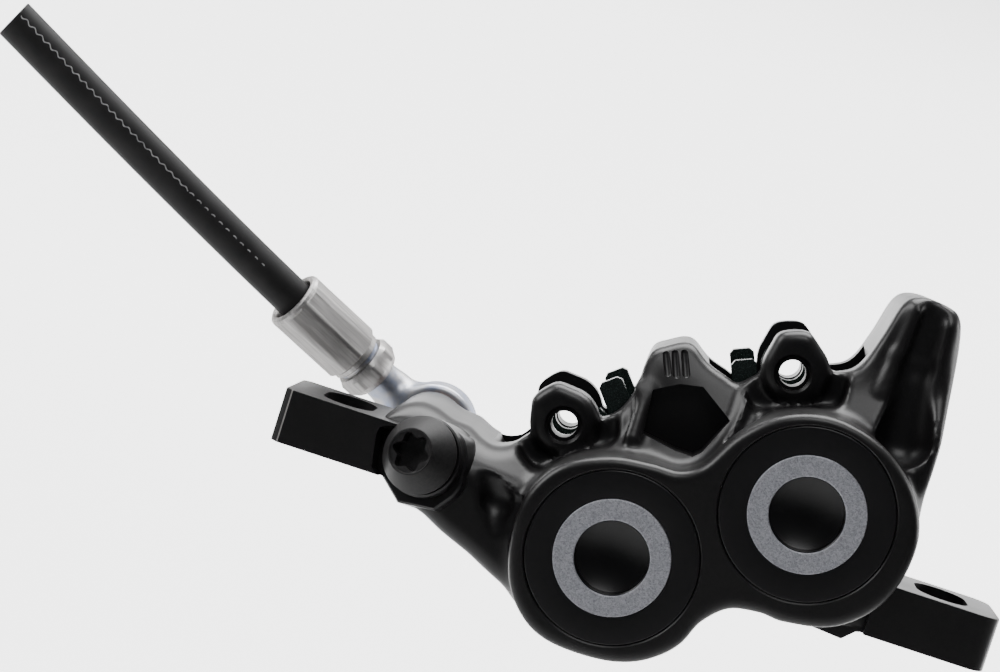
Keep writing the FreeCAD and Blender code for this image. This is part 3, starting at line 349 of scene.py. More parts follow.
def blasted_grey():
    """Bead-blasted ring: bright and dark grains a fifth of a millimetre across."""
    m, shader = new_material("blasted_grey", (0.16, 0.165, 0.19), 0.55, 0.55)
    at = object_coordinates(m)
    grains = add_node(m, "ShaderNodeTexVoronoi")
    grains.inputs["Scale"].default_value = 5.5
    link(m, at, grains.inputs["Vector"])
    parts = add_node(m, "ShaderNodeSeparateColor")
    link(m, grains.outputs["Color"], parts.inputs["Color"])
    fine = noise(m, at, 7.0, 2.0, 0.6)
    both = combine(m, "MULTIPLY_ADD", parts.outputs["Red"], 0.35, fine)
    tone = ramp(m, both, (0.25, 0.255, 0.285), (0.56, 0.565, 0.61), 0.35, 0.95)
    link(m, tone, shader.inputs["Base Color"])
    bump(m, shader, both, 0.5, 0.03)
    return m


def grain_along(material, axis, across, lengthwise):
    """Coordinates in millimetres that are drawn out along an axis."""
    place = add_node(material, "ShaderNodeTexCoord")
    joined = add_node(material, "ShaderNodeCombineXYZ")
    u, v = across_axis(axis)
    for name, direction, scale in (("X", u, across), ("Y", v, across), ("Z", axis, lengthwise)):
        dot = add_node(material, "ShaderNodeVectorMath", operation="DOT_PRODUCT")
        dot.inputs[1].default_value = direction * (scale / MM)
        link(material, place.outputs["Object"], dot.inputs[0])
        link(material, dot.outputs["Value"], joined.inputs[name])
    return joined.outputs["Vector"]


def plain_metal(name, low, high, roughness):
    """A plain metal with clouded tone, for rings, magnets and pistons."""
    gloss = (roughness - 0.06, roughness + 0.08)
    return finish(name, high, 1.0, roughness, (1.2, 4.0), (low, high), gloss)


BLACK = black_anodised()
GREY = blasted_grey()
# Crimped metal with fine streaks along the hose.
BRIGHT = finish(
    "turned_metal", (0.62, 0.61, 0.60), 1.0, 0.30, (2.5, 3.0, 0.6),
    ((0.40, 0.39, 0.385), (0.64, 0.625, 0.615)), (0.38, 0.56), relief=(0.2, 0.02),
    cloud=(0.8, 4.0), tint=(0.45, 0.44, 0.43), streaks=(HOSE_AXIS, 3.0, 0.25),
)
# Bluish plated forging with a faint warm tarnish.
ZINC = finish(
    "zinc_plate", (0.44, 0.47, 0.54), 1.0, 0.34, (3.5, 4.0, 0.6),
    ((0.42, 0.47, 0.61), (0.74, 0.71, 0.66), 0.35, 0.7), (0.34, 0.52), relief=(0.15, 0.03),
    cloud=(0.35, 3.0, 0.6), tint=(0.50, 0.52, 0.58),
)
# Matte black jacket, clouded and finely grained.
HOSE = finish(
    "hose_jacket", (0.014, 0.013, 0.014), 0.0, 0.45, (3.0, 4.0, 0.6),
    ((0.013, 0.0125, 0.013), (0.022, 0.021, 0.0215)), (0.52, 0.66), 0.28, (0.12, 0.02),
    cloud=(0.3, 2.0),
)
CAP_BLACK = finish(
    "black_turned", (0.006, 0.0056, 0.0064), 0.0, 0.32, (4.0, 3.0, 0.6),
    gloss=(0.28, 0.38), specular=0.45, relief=(0.08, 0.01),
)
OXIDE = finish(
    "black_oxide", (0.012, 0.011, 0.012), 0.0, 0.45, (3.0, 4.0, 0.6),
    ((0.008, 0.0075, 0.008), (0.018, 0.017, 0.0175)), (0.46, 0.60), 0.3, (0.12, 0.02),
)
PAINT = finish(
    "dark_paint", (0.012, 0.020, 0.018), 0.0, 0.38, (4.0, 4.0, 0.7),
    ((0.008, 0.014, 0.012), (0.035, 0.055, 0.050), 0.45, 0.75), (0.18, 0.34), relief=(0.2, 0.03),
)
LINING = finish(
    "friction_lining", (0.12, 0.10, 0.085), 0.3, 0.75, (2.5, 6.0, 0.7),
    ((0.05, 0.045, 0.04), (0.26, 0.21, 0.16)), relief=(0.6, 0.1),
)
SEAL = finish(
    "seal_rubber", (0.014, 0.014, 0.015), 0.0, 0.6, (4.0, 3.0), gloss=(0.5, 0.7), relief=(0.15, 0.02),
)
PRINT = finish(
    "printed_line", (0.36, 0.36, 0.36), 0.0, 0.6, (2.5, 3.0), ((0.22, 0.22, 0.23), (0.50, 0.50, 0.50)),
)
COPPER = plain_metal("copper", (0.55, 0.30, 0.18), (0.75, 0.45, 0.30), 0.35)
MAGNET = plain_metal("magnet_metal", (0.45, 0.45, 0.47), (0.65, 0.65, 0.66), 0.3)
PISTON_METAL = plain_metal("piston_metal", (0.10, 0.10, 0.11), (0.20, 0.20, 0.21), 0.4)
BRASS = plain_metal("olive_brass", (0.50, 0.36, 0.14), (0.72, 0.56, 0.28), 0.3)

hose.data.materials.append(HOSE)


# Distances: a shape is a function that is negative inside, in millimetres.
def smooth_min(a, b, k):
    t = np.clip(0.5 + 0.5 * (b - a) / k, 0.0, 1.0)
    return b * (1.0 - t) + a * t - k * t * (1.0 - t)


def smooth_max(a, b, k):
    return -smooth_min(-a, -b, k)


def flow(points, steps=6):
    """A smooth closed line through the points."""
    p = np.array(points, float)
    before, after, beyond = np.roll(p, 1, 0), np.roll(p, -1, 0), np.roll(p, -2, 0)
    line = []
    for i in range(len(p)):
        for t in np.linspace(0.0, 1.0, steps, endpoint=False):
            line.append(0.5 * (
                2.0 * p[i] + (after[i] - before[i]) * t
                + (2.0 * before[i] - 5.0 * p[i] + 4.0 * after[i] - beyond[i]) * t ** 2
                + (3.0 * p[i] - before[i] - 3.0 * after[i] + beyond[i]) * t ** 3
            ))
    return np.array(line)


def outline_distance(line, x, z):
    """Distance to a closed outline in the XZ plane, negative inside."""
    line = np.asarray(line, float)
    nearest = np.full(np.broadcast(x, z).shape, 1e9)
    inside = np.zeros(nearest.shape, bool)
    for a, b in zip(line, np.roll(line, -1, 0)):
        ex, ez = b[0] - a[0], b[1] - a[1]
        wx, wz = x - a[0], z - a[1]
        t = np.clip((wx * ex + wz * ez) / (ex * ex + ez * ez + 1e-12), 0.0, 1.0)
        nearest = np.minimum(nearest, (wx - ex * t) ** 2 + (wz - ez * t) ** 2)
        crosses = ((a[1] <= z) != (b[1] <= z)) & (
            x < ex * (z - a[1]) / (ez if abs(ez) > 1e-12 else 1e-12) + a[0]
        )
        inside ^= crosses
    return np.where(inside, -1.0, 1.0) * np.sqrt(nearest)


def rounded(side, end, rim):
    """A distance to the side and one to the ends, joined by a rounded rim."""
    d, w = side + rim, end + rim
    outside = np.sqrt(np.maximum(d, 0.0) ** 2 + np.maximum(w, 0.0) ** 2)
    return np.minimum(np.maximum(d, w), 0.0) + outside - rim


def slab(distance, low, high, y, rim):
    """The outline carried along Y from low to high, with rounded rims."""
    return rounded(distance, np.maximum(low - y, y - high), rim)


def rod(x, y, z, a, b, radius_a, radius_b):
    """A round-ended rod whose radius changes along its length."""
    a, b = np.array(a, float), np.array(b, float)
    e = b - a
    wx, wy, wz = x - a[0], y - a[1], z - a[2]
    t = np.clip((wx * e[0] + wy * e[1] + wz * e[2]) / e.dot(e), 0.0, 1.0)
    away = np.sqrt((wx - e[0] * t) ** 2 + (wy - e[1] * t) ** 2 + (wz - e[2] * t) ** 2)
    return away - (radius_a + (radius_b - radius_a) * t)


def drum(x, y, z, a, b, radius, rim):
    """A cylinder from a to b with rounded rims."""
    a, b = np.array(a, float), np.array(b, float)
    length = np.linalg.norm(b - a)
    e = (b - a) / length
    wx, wy, wz = x - a[0], y - a[1], z - a[2]
    t = wx * e[0] + wy * e[1] + wz * e[2]
    away = np.sqrt(np.maximum(wx ** 2 + wy ** 2 + wz ** 2 - t ** 2, 0.0))
    return rounded(away - radius, np.maximum(-t, t - length), rim)


# Caliper body: stations along Y and radii about the rotor centre, as in the solid.
OUTER_FACE = -21.5
INNER_FACE = 15.4
OUTER_SIDE = -14.5
INNER_SIDE = 12.4
BRIDGE = 9.4
SHOULDER = (90.0, 97.0)
POCKET = 5.6
RIM = 1.1

BLOCK = flow([
    (-15.0, 4.0), (-17.2, -4.4), (-12.4, -7.2), (-8.5, -8.2), (-1.5, -9.6), (5.0, -8.2), (9.6, -3.0),
    (13.2, 0.2), (21.9, -0.6), (27.0, -0.8), (29.8, 0.2), (30.4, 3.4), (30.7, 8.4), (30.9, 14.0),
    (31.0, 21.0), (30.6, 29.4), (30.0, 34.6), (29.0, 37.9), (27.2, 38.9), (24.0, 39.0),
    (22.1, 37.6), (20.9, 33.0), (19.6, 29.2), (17.6, 27.6), (14.0, 26.8), (9.0, 24.6), (6.6, 22.6),
    (4.9, 22.9), (2.5, 23.7), (0.4, 25.1), (-1.0, 25.2), (-3.0, 24.1), (-4.3, 23.1),
    (-4.7, 21.4), (-4.9, 18.0), (-6.2, 14.8), (-9.5, 12.2), (-13.5, 9.8), (-15.8, 8.2),
])
ARM = flow([
    (-29.5, 3.5), (-29.4, -0.2), (-27.6, -2.3), (-24.6, -3.0), (-21.4, -4.5), (-17.3, -6.1), (-13.0, -8.1),
    (-8.0, -10.2), (-2.0, -6.0), (-6.0, 4.0), (-12.0, 8.6), (-15.8, 7.8), (-18.4, 6.8), (-20.2, 7.0),
    (-22.4, 7.9), (-24.6, 7.9), (-27.0, 7.6), (-28.6, 6.9), (-29.4, 5.6),
])
FACE = flow([
    (-12.1, 3.0), (-9.7, 7.3), (-5.0, 9.8), (-0.5, 10.5), (3.1, 10.7), (6.1, 12.6), (8.9, 17.2),
    (12.9, 20.7), (18.0, 21.95), (23.5, 20.6), (28.0, 17.0), (30.0, 12.0), (28.8, 5.6), (24.8, 1.4),
    (19.6, 0.1), (16.4, 0.2), (12.5, -0.6), (9.6, -3.4), (8.0, -6.8), (5.4, -9.2), (2.3, -10.5),
    (-1.5, -10.9), (-5.5, -10.6), (-8.4, -9.2), (-10.8, -6.3), (-12.1, -2.0),
])
BACK_LOBES_RADIUS = 11.9
LUG_FRONT = 10.3
LUG_RIM = 1.5
LUG_CROWN = {"left": (-0.30, 2.48, 2.75), "right": (0.53, 2.63, 2.75)}
LUG_BELLY = {"left": (0.10, 0.17, 4.15), "right": (0.38, 0.13, 4.05)}
FAR_LUG_BACK = LUG_FRONT - 0.9
FAR_LUG_SHIFT = {"left": (-0.31, 0.38), "right": (-0.33, 0.38)}
SCOOP_RADIUS = 6.3
SCOOP_PLACE = (0.2, -0.3)
SCOOP_DEPTH = 1.4
LUG_ROOT = 1.5


def across_pad(side, x, z):
    """Coordinates across and along the pad's own direction, from its pin."""
    pin, up = PIN[side], pad_up(side)
    return (x - pin.x) * up.z - (z - pin.z) * up.x, (x - pin.x) * up.x + (z - pin.z) * up.z


def lug_distance(side, x, z):
    """A narrow crown over a wider belly, joined by straight flanks."""
    across, along = across_pad(side, x, z)
    top, bottom = LUG_CROWN[side], LUG_BELLY[side]
    ex, ez = top[0] - bottom[0], top[1] - bottom[1]
    tall = math.hypot(ex, ez)
    side_out = np.abs((across - bottom[0]) * ez - (along - bottom[1]) * ex) / tall
    up = ((across - bottom[0]) * ex + (along - bottom[1]) * ez) / tall
    lean = math.asin((bottom[2] - top[2]) / tall)
    flank_distance = side_out * math.cos(lean) + up * math.sin(lean) - bottom[2]
    belly = np.hypot(side_out, up) - bottom[2]
    crown = np.hypot(side_out, up - tall) - top[2]
    turn = up * math.cos(lean) - side_out * math.sin(lean)
    d = np.where(turn < 0.0, belly, np.where(turn > tall * math.cos(lean), crown, flank_distance))
    return smooth_max(d, up - tall - top[2] + 0.35, 0.6)


def flank(rotor, depth, side):
    """The flank of the body: upright at the lobes, leaning in over the rotor, upright above."""
    start, end = SHOULDER
    run, step = end - start, side - BRIDGE
    leaning = ((rotor - start) * step + (depth - side) * run) / math.hypot(run, step)
    return smooth_min(leaning, depth - BRIDGE, 2.5)


BLEED_SIDE = math.radians(19.0)
BLEED_UP = math.radians(8.5)
BLEED_AXIS = Vector((
    -math.sin(BLEED_SIDE) * math.cos(BLEED_UP),
    -math.cos(BLEED_SIDE) * math.cos(BLEED_UP),
    math.sin(BLEED_UP),
))
BLEED_ROOT = Vector((-25.293, OUTER_SIDE, 3.3))
BLEED_REACH = 2.6
BLEED_RADIUS = 4.8
PORT_RADIUS = 4.5
PORT_FACE = 6.6

COLLAR_RADIUS = 6.3
COLLAR_HIDDEN = 4.25
COLLAR_RIGHT = 0.8
COLLAR_LEFT = 1.75
COLLAR_TURN = math.radians(-104.8)
RIDGES = [
    # Along each side of the hump's pocket and down from its crown.
    ((-4.0, -9.6, 22.6), (-3.6, -10.8, 18.9), 0.9, 1.1, 1.6),
    ((-3.6, -10.8, 18.9), (-3.5, -13.2, 13.2), 1.1, 1.0, 1.6),
    ((3.4, -10.2, 21.6), (7.6, -11.0, 18.4), 1.0, 1.0, 1.6),
    ((7.6, -11.0, 18.4), (5.2, -13.2, 13.4), 1.0, 0.8, 1.6),
    # The two crests of the right bridge.
    ((24.0, -9.1, 37.2), (23.5, -9.1, 31.6), 1.0, 1.2, 0.7),
    ((23.5, -9.1, 31.6), (23.0, -10.1, 26.8), 1.2, 1.3, 0.7),
    ((27.9, -8.9, 36.4), (28.8, -9.3, 27.0), 1.2, 1.6, 0.7),
]
SCALLOPS = [
    # Ball-end cuts between the arm and the left lobe.
    ((-18.6, -17.1, 4.4), (-16.2, -16.8, 1.4), 1.7, 2.2, 0.35),
    ((-16.2, -16.8, 1.4), (-15.4, -17.4, -1.4), 2.1, 1.6, 0.35),
    ((-14.3, -17.2, 1.9), (-14.2, -17.6, -1.9), 1.3, 1.1, 0.3),
]
VALLEYS = [
    # The hollow down the right bridge, and the hollows that frame the hump.
    ((25.8, -10.2, 40.5), (25.9, -11.2, 31.0), 1.5, 2.0, 0.6),
    ((25.9, -11.2, 31.0), (26.6, -13.8, 22.6), 2.0, 3.3, 0.8),
    ((-6.3, -12.4, 17.8), (-7.9, -14.9, 12.4), 1.5, 1.8, 0.8),
    ((9.4, -11.6, 20.9), (8.4, -14.4, 16.4), 1.3, 1.5, 0.8),
]

# Planes that lean: a point on each and the way that it faces. The crown's fades beside the hump.
ARM_SLOPE = ((-22.0, -11.5, 7.6), (0.05, -0.62, 0.78))
CROWN_SLOPE = ((0.0, -9.6, 20.2), (0.0, -0.87, 0.49))
CROWN_MIDDLE = 1.0
CROWN_HALF = 5.0
CROWN_FADE = 0.4
PORT_ROOT = -14.0
ARM_FRONT = -16.2
LOBE_ROOT = -6.0
BACK_ROOT = 6.0
RIMS = {"block": 1.2, "arm": 2.0, "port": 0.4, "back": 1.4}
# How softly each form flows into the rest.
BLENDS = {
    "flank": 1.5, "crown": 1.2, "port": 1.5, "slope": 1.6, "arm": 1.6, "scoop": 0.6, "scoop_floor": 1.2,
    "lobes": 1.8, "lug": 0.9, "far_lug": 1.0, "between": 6.0, "back": 1.8,
}


def plane(x, y, z, point, facing):
    return (z - point[2]) * facing[2] + (y - point[1]) * facing[1] + (x - point[0]) * facing[0]


def body_distance(x, y, z):
    rotor = np.hypot(x - ROTOR.x, z - ROTOR.z)
    d = slab(outline_distance(BLOCK, x, z), OUTER_SIDE, INNER_SIDE, y, RIMS["block"])
    d = smooth_max(d, flank(rotor, -y, -OUTER_SIDE), BLENDS["flank"])
    d = smooth_max(d, flank(rotor, y, INNER_SIDE), BLENDS["flank"])
    for a, b, ra, rb, k in RIDGES:
        d = smooth_min(d, rod(x, y, z, a, b, ra, rb), k)
    beside = np.maximum(np.abs(x - CROWN_MIDDLE) - CROWN_HALF, 0.0)
    d = smooth_max(d, plane(x, y, z, *CROWN_SLOPE) - CROWN_FADE * beside ** 2, BLENDS["crown"])
    arm = slab(outline_distance(ARM, x, z), ARM_FRONT, PORT_FACE, y, RIMS["arm"])
    port_low, port_high = (PORT.x, PORT_ROOT, PORT.z), (PORT.x, PORT_FACE, PORT.z)
    port = drum(x, y, z, port_low, port_high, PORT_RADIUS, RIMS["port"])
    arm = smooth_min(arm, port, BLENDS["port"])
    arm = smooth_max(arm, plane(x, y, z, *ARM_SLOPE), BLENDS["slope"])
    d = smooth_min(d, arm, BLENDS["arm"])
    for side in SIDES:
        across, along = across_pad(side, x, z)
        scoop = np.hypot(across - SCOOP_PLACE[0], along - SCOOP_PLACE[1]) - SCOOP_RADIUS
        scoop = smooth_max(scoop, y + LUG_FRONT - SCOOP_DEPTH, BLENDS["scoop_floor"])
        d = smooth_max(d, -scoop, BLENDS["scoop"])
    lobes = slab(outline_distance(FACE, x, z) - RIM, OUTER_FACE, LOBE_ROOT, y, RIM)
    d = smooth_min(d, lobes, BLENDS["lobes"])
    for a, b, ra, rb, k in VALLEYS:
        d = smooth_max(d, -rod(x, y, z, a, b, ra, rb), k)
    for side in SIDES:
        shape = lug_distance(side, x, z)
        d = smooth_min(d, slab(shape, -LUG_FRONT, -POCKET + LUG_ROOT, y, LUG_RIM), BLENDS["lug"])
        shift_x, shift_z = FAR_LUG_SHIFT[side]
        shape = lug_distance(side, x - shift_x, z - shift_z)
        d = smooth_min(d, slab(shape, POCKET - LUG_ROOT, FAR_LUG_BACK, y, LUG_RIM), BLENDS["far_lug"])
    rounds = [np.hypot(x - PISTON[side].x, z - PISTON[side].z) - BACK_LOBES_RADIUS for side in SIDES]
    back = smooth_min(*rounds, BLENDS["between"])
    d = smooth_min(d, slab(back, BACK_ROOT, INNER_FACE, y, RIMS["back"]), BLENDS["back"])
    for a, b, ra, rb, k in SCALLOPS:
        d = smooth_max(d, -rod(x, y, z, a, b, ra, rb), k)
    return d


def surface_net(values, low, step):
    """A quad mesh where the sampled distance changes sign."""
    inside = values < 0.0
    shape = [n - 1 for n in values.shape]
    count = np.zeros(shape, np.int8)
    for i in (0, 1):
        for j in (0, 1):
            for k in (0, 1):
                count += inside[i:i + shape[0], j:j + shape[1], k:k + shape[2]]
    active = (count > 0) & (count < 8)
    cells = np.argwhere(active)
    index = np.full(shape, -1, np.int64)
    index[active] = np.arange(len(cells))
    total = np.zeros((len(cells), 3))
    hits = np.zeros(len(cells))
    for axis in range(3):
        unit = np.eye(3, dtype=int)[axis]
        others = [np.eye(3, dtype=int)[o] for o in range(3) if o != axis]
        for u in (0, 1):
            for v in (0, 1):
                start = cells + others[0] * u + others[1] * v
                end = start + unit
                a = values[tuple(start.T)]
                b = values[tuple(end.T)]
                crossing = (a < 0.0) != (b < 0.0)
                t = a[crossing] / (a[crossing] - b[crossing])
                total[crossing] += start[crossing] + unit * t[:, None]
                hits[crossing] += 1
    points = np.array(low) + step * total / hits[:, None]
    faces = []
    for axis in range(3):
        unit = np.eye(3, dtype=int)[axis]
        u, v = [np.eye(3, dtype=int)[(axis + o) % 3] for o in (1, 2)]
        spans = [slice(1, shape[i]) if i != axis else slice(0, shape[i]) for i in range(3)]
        ahead = [slice(1, shape[i]) if i != axis else slice(1, shape[i] + 1) for i in range(3)]
        a, b = inside[tuple(spans)], inside[tuple(ahead)]
        for first, second, flip in ((a, b, False), (b, a, True)):
            edge = np.argwhere(first & ~second)
            edge[:, (axis + 1) % 3] += 1
            edge[:, (axis + 2) % 3] += 1
            ring = [edge - u - v, edge - v, edge, edge - u]
            quad = np.stack([index[tuple(c.T)] for c in ring], 1)
            faces.append(quad[:, ::-1] if flip else quad)
    return points, np.concatenate(faces)


def settle(points, distance, rounds=3, probe=0.02):
    """Moves the points onto the surface where the distance is zero."""
    for _ in range(rounds):
        x, y, z = points.T
        d = distance(x, y, z)
        slope = np.stack([
            distance(x + probe, y, z) - d,
            distance(x, y + probe, z) - d,
            distance(x, y, z + probe) - d,
        ], 1) / probe
        steep = np.maximum((slope ** 2).sum(1), 0.05)
        move = -(d / steep)[:, None] * slope
        far = np.maximum(np.linalg.norm(move, axis=1) / 0.3, 1.0)
        points = points + move / far[:, None]
    return points


BODY_LOW = (-34.6, -22.2, -13.2)
BODY_HIGH = (34.0, 16.2, 39.6)
BODY_STEP = 0.42


def grown(name, distance, low, high, step, material):
    """The surface where the distance is zero, inside the box from low to high."""
    axes = [np.arange(a, b + step, step) for a, b in zip(low, high)]
    values = distance(axes[0][:, None, None], axes[1][None, :, None], axes[2][None, None, :])
    points, faces = surface_net(values, low, step)
    points = settle(points, distance)
    mesh = bpy.data.meshes.new(name)
    mesh.from_pydata((points * MM).tolist(), [], faces.tolist())
    mesh.validate()
    return add_object(name, mesh, material)


# Solid helpers for the crisp parts.
INBOARD = Vector((0.0, 1.0, 0.0))


def flat_sided(flat, sides, a, turn):
    """The radius at an angle of an even outline whose flats stand that far from its middle."""
    step = 2.0 * math.pi / sides
    return flat / math.cos((a - turn) % step - step / 2.0)


def lathe(name, profile, origin, axis, material, count=96, shape=None, turn=0.0):
    """A closed solid of revolution. The profile is a list of (radius, height along the axis)."""
    axis = Vector(axis).normalized()
    u, v = across_axis(axis)
    origin = Vector(origin)
    points, faces, rows = [], [], []
    for radius, height in profile:
        if radius < 1e-6:
            rows.append([len(points)])
            points.append(origin + axis * height)
            continue
        row = []
        for i in range(count):
            a = 2.0 * math.pi * i / count + turn
            r = radius if shape is None else shape(radius, height, a)
            row.append(len(points))
            points.append(origin + axis * height + (u * math.cos(a) + v * math.sin(a)) * r)
        rows.append(row)
    closed = profile[0][0] > 1e-6 and profile[-1][0] > 1e-6
    for a, b in zip(rows, rows[1:] + ([rows[0]] if closed else [])):
        for i in range(count):
            j = (i + 1) % count
            if len(a) == 1:
                faces.append((a[0], b[j], b[i]))
            elif len(b) == 1:
                faces.append((a[i], a[j], b[0]))
            else:
                faces.append((a[i], a[j], b[j], b[i]))
    return solid(name, [tuple(p * MM) for p in points], faces, material)


def rounded_profile(corners, steps=4):
    """A profile whose corners (radius, height, rounding) become short arcs."""
    points = []
    count = len(corners)
    for i, (r, h, fillet) in enumerate(corners):
        here = Vector((r, h))
        if fillet <= 0.0:
            points.append((r, h))
            continue
        before = Vector(corners[i - 1][:2])
        after = Vector(corners[(i + 1) % count][:2])
        a = here + (before - here).normalized() * fillet
        b = here + (after - here).normalized() * fillet
        for s in range(steps + 1):
            t = s / steps
            p = a * (1 - t) ** 2 + here * 2 * t * (1 - t) + b * t ** 2
            points.append((p.x, p.y))
    return points


def extruded(name, outline, low, high, place, material):
    """The outline carried from low to high; place turns its points and a level into metres."""
    count = len(outline)
    points = [place(a, b, level) for level in (low, high) for a, b in outline]
    faces = [tuple(range(count)), tuple(range(2 * count - 1, count - 1, -1))]
    for i in range(count):
        j = (i + 1) % count
        faces.append((i, i + count, j + count, j))
    return solid(name, points, faces, material)


def prism(name, outline, low, high, material=None):
    """The outline in the XZ plane carried along Y."""
    return extruded(name, outline, low, high, lambda x, z, y: (x * MM, y * MM, z * MM), material)


def plate(name, outline, low, high, material=None):
    """The outline in the XY plane carried up from low to high."""
    return extruded(name, outline, low, high, lambda x, y, z: (x * MM, y * MM, z * MM), material)


def bevel(obj, width, segments, angle):
    tool = obj.modifiers.new("bevel", "BEVEL")
    tool.width = width * MM
    tool.segments = segments
    tool.limit_method = "ANGLE"
    tool.angle_limit = math.radians(angle)
    apply_modifiers(obj)


def apply_modifiers(obj):
    graph = bpy.context.evaluated_depsgraph_get()
    mesh = bpy.data.meshes.new_from_object(obj.evaluated_get(graph))
    old = obj.data
    obj.modifiers.clear()
    obj.data = mesh
    bpy.data.meshes.remove(old)


def soften(obj, angle, even=False):
    """Smooth shading with the edges above an angle kept crisp, and flat faces kept flat."""
    obj.data.shade_smooth()
    obj.data.set_sharp_from_angle(angle=math.radians(angle))
    if even:
        tool = obj.modifiers.new("even", "WEIGHTED_NORMAL")
        tool.mode = "FACE_AREA"
        tool.weight = 60
        tool.keep_sharp = True
        apply_modifiers(obj)


def discard(obj):
    old = obj.data
    bpy.data.objects.remove(obj)
    bpy.data.meshes.remove(old)


def join_all(objects, name):
    """One object that holds every given mesh."""
    work = bmesh.new()
    for obj in objects:
        work.from_mesh(obj.data)
    mesh = bpy.data.meshes.new(name)
    work.to_mesh(mesh)
    work.free()
    for obj in objects:
        discard(obj)
    return add_object(name, mesh)


def boolean(obj, tools, operation):
    for tool in tools:
        change = obj.modifiers.new(operation, "BOOLEAN")
        change.operation = operation
        change.solver = "MANIFOLD"
        change.object = tool
    apply_modifiers(obj)
    for tool in tools:
        discard(tool)


def hole(name, x, z, radius, y_low, y_high, count=96):
    return lathe(
        name, [(0.0, y_low), (radius, y_low), (radius, y_high), (0.0, y_high)],
        (x, 0.0, z), INBOARD, None, count,
    )


EAR_TOP = 6.2
EAR_HALF = 6.85
EAR_Y0 = EAR_Y - EAR_HALF
EAR_Y1 = EAR_Y + EAR_HALF
EAR_BOTTOM = -0.3
EAR_END = {-1.0: 44.1, 1.0: 43.7}
LEFT_END = -29.6
RIGHT_END = 31.0


def ear(name, sign, root):
    """A crisp machined ear. The left one ends in chamfers, the right one in rounded edges."""
    end = EAR_END[sign] * sign
    if sign < 0.0:
        cut = 0.85
        outline = [(end + cut, EAR_Y0), (end, EAR_Y0 + cut), (end, EAR_Y1 - cut), (end + cut, EAR_Y1)]
    else:
        corner = 2.4
        outline = []
        for cy, angles in ((EAR_Y0 + corner, (-90.0, 0.0)), (EAR_Y1 - corner, (0.0, 90.0))):
            for s in range(9):
                a = math.radians(angles[0] + (angles[1] - angles[0]) * s / 8.0)
                outline.append((end - corner + corner * math.cos(a), cy + corner * math.sin(a)))
    outline += [(root, EAR_Y1), (root, EAR_Y0)]
    obj = plate(name, outline, EAR_BOTTOM, EAR_TOP, BLACK)
    bevel(obj, 0.14, 2, 40.0)
    return obj


def web():
    """The crisp lip of the body under the right lobe, beside the ear."""
    outline = [(20.0, -1.2), (26.9, -1.75), (28.4, EAR_BOTTOM), (31.0, EAR_BOTTOM), (31.0, 3.0), (20.0, 3.0)]
    obj = prism("web", outline, -14.4, 10.8, BLACK)
    bevel(obj, 0.12, 2, 30.0)
    return obj


def slot_cutter(name, x):
    """The bolt slot: long along Y, straight through the ear."""
    radius, reach = 3.15, 1.55
    outline = []
    for start, y in ((0.0, EAR_Y + reach), (math.pi, EAR_Y - reach)):
        for s in range(25):
            a = start + math.pi * s / 24.0
            outline.append((x + radius * math.cos(a), y + radius * math.sin(a)))
    return plate(name, outline, -3.0, EAR_TOP + 1.5)


def pad_frame(side, across, along):
    """A point given across and along the pad's own direction."""
    up = pad_up(side)
    return (
        PISTON[side].x + across * up.z + along * up.x,
        PISTON[side].z - across * up.x + along * up.z,
    )


def window_cutter(side):
    width, foot = 9.6, 8.7
    low, knee, high = -17.0, 4.0, 34.0
    corners = [(-foot, low), (foot, low), (width, knee), (width, high), (-width, high), (-width, knee)]
    return prism("window_" + side, [pad_frame(side, u, v) for u, v in corners], -POCKET, POCKET)


FRONT = -22.0
CAP_RADIUS = 10.15
CAP_DEPTH = 3.3
BORE_RADIUS = 8.0
BORE_END = 13.1
ROTOR_SLOT_RADIUS = 91.8
ROTOR_SLOT_HALF = 1.8
CAP_GAP = 0.06
PIN_RADIUS = 1.6


def ease(value, start, end):
    """A smooth step from 0 at start to 1 at end."""
    t = min(max((value - start) / (end - start), 0.0), 1.0)
    return t * t * (3.0 - 2.0 * t)


def on_bleed_axis(name, profile, room=None):
    """A crisp solid on the bleed axis, its collar eight-sided below and round at the arm."""
    u, v = across_axis(BLEED_AXIS)
    corner = Vector((math.cos(COLLAR_TURN), 0.0, math.sin(COLLAR_TURN)))
    turn = math.atan2(corner.dot(v), corner.dot(u))

    def shape(radius, height, a):
        if room is None or radius < COLLAR_RADIUS - 0.5:
            return radius
        way = u * math.cos(a) + v * math.sin(a)
        eight = flat_sided(COLLAR_RADIUS * math.cos(math.pi / 8.0), 8, a, turn)
        above = COLLAR_HIDDEN + COLLAR_RIGHT * ease(way.x, 0.25, 0.7)
        above += COLLAR_LEFT * ease(-way.x, 0.8, 1.0)
        t = min(max(0.5 + 1.8 * (way.z + 0.35 * way.x), 0.0), 1.0)
        return eight + (above - eight) * t + room + radius - COLLAR_RADIUS

    return lathe(name, profile, BLEED_ROOT, BLEED_AXIS, BLACK, 96, shape, turn)


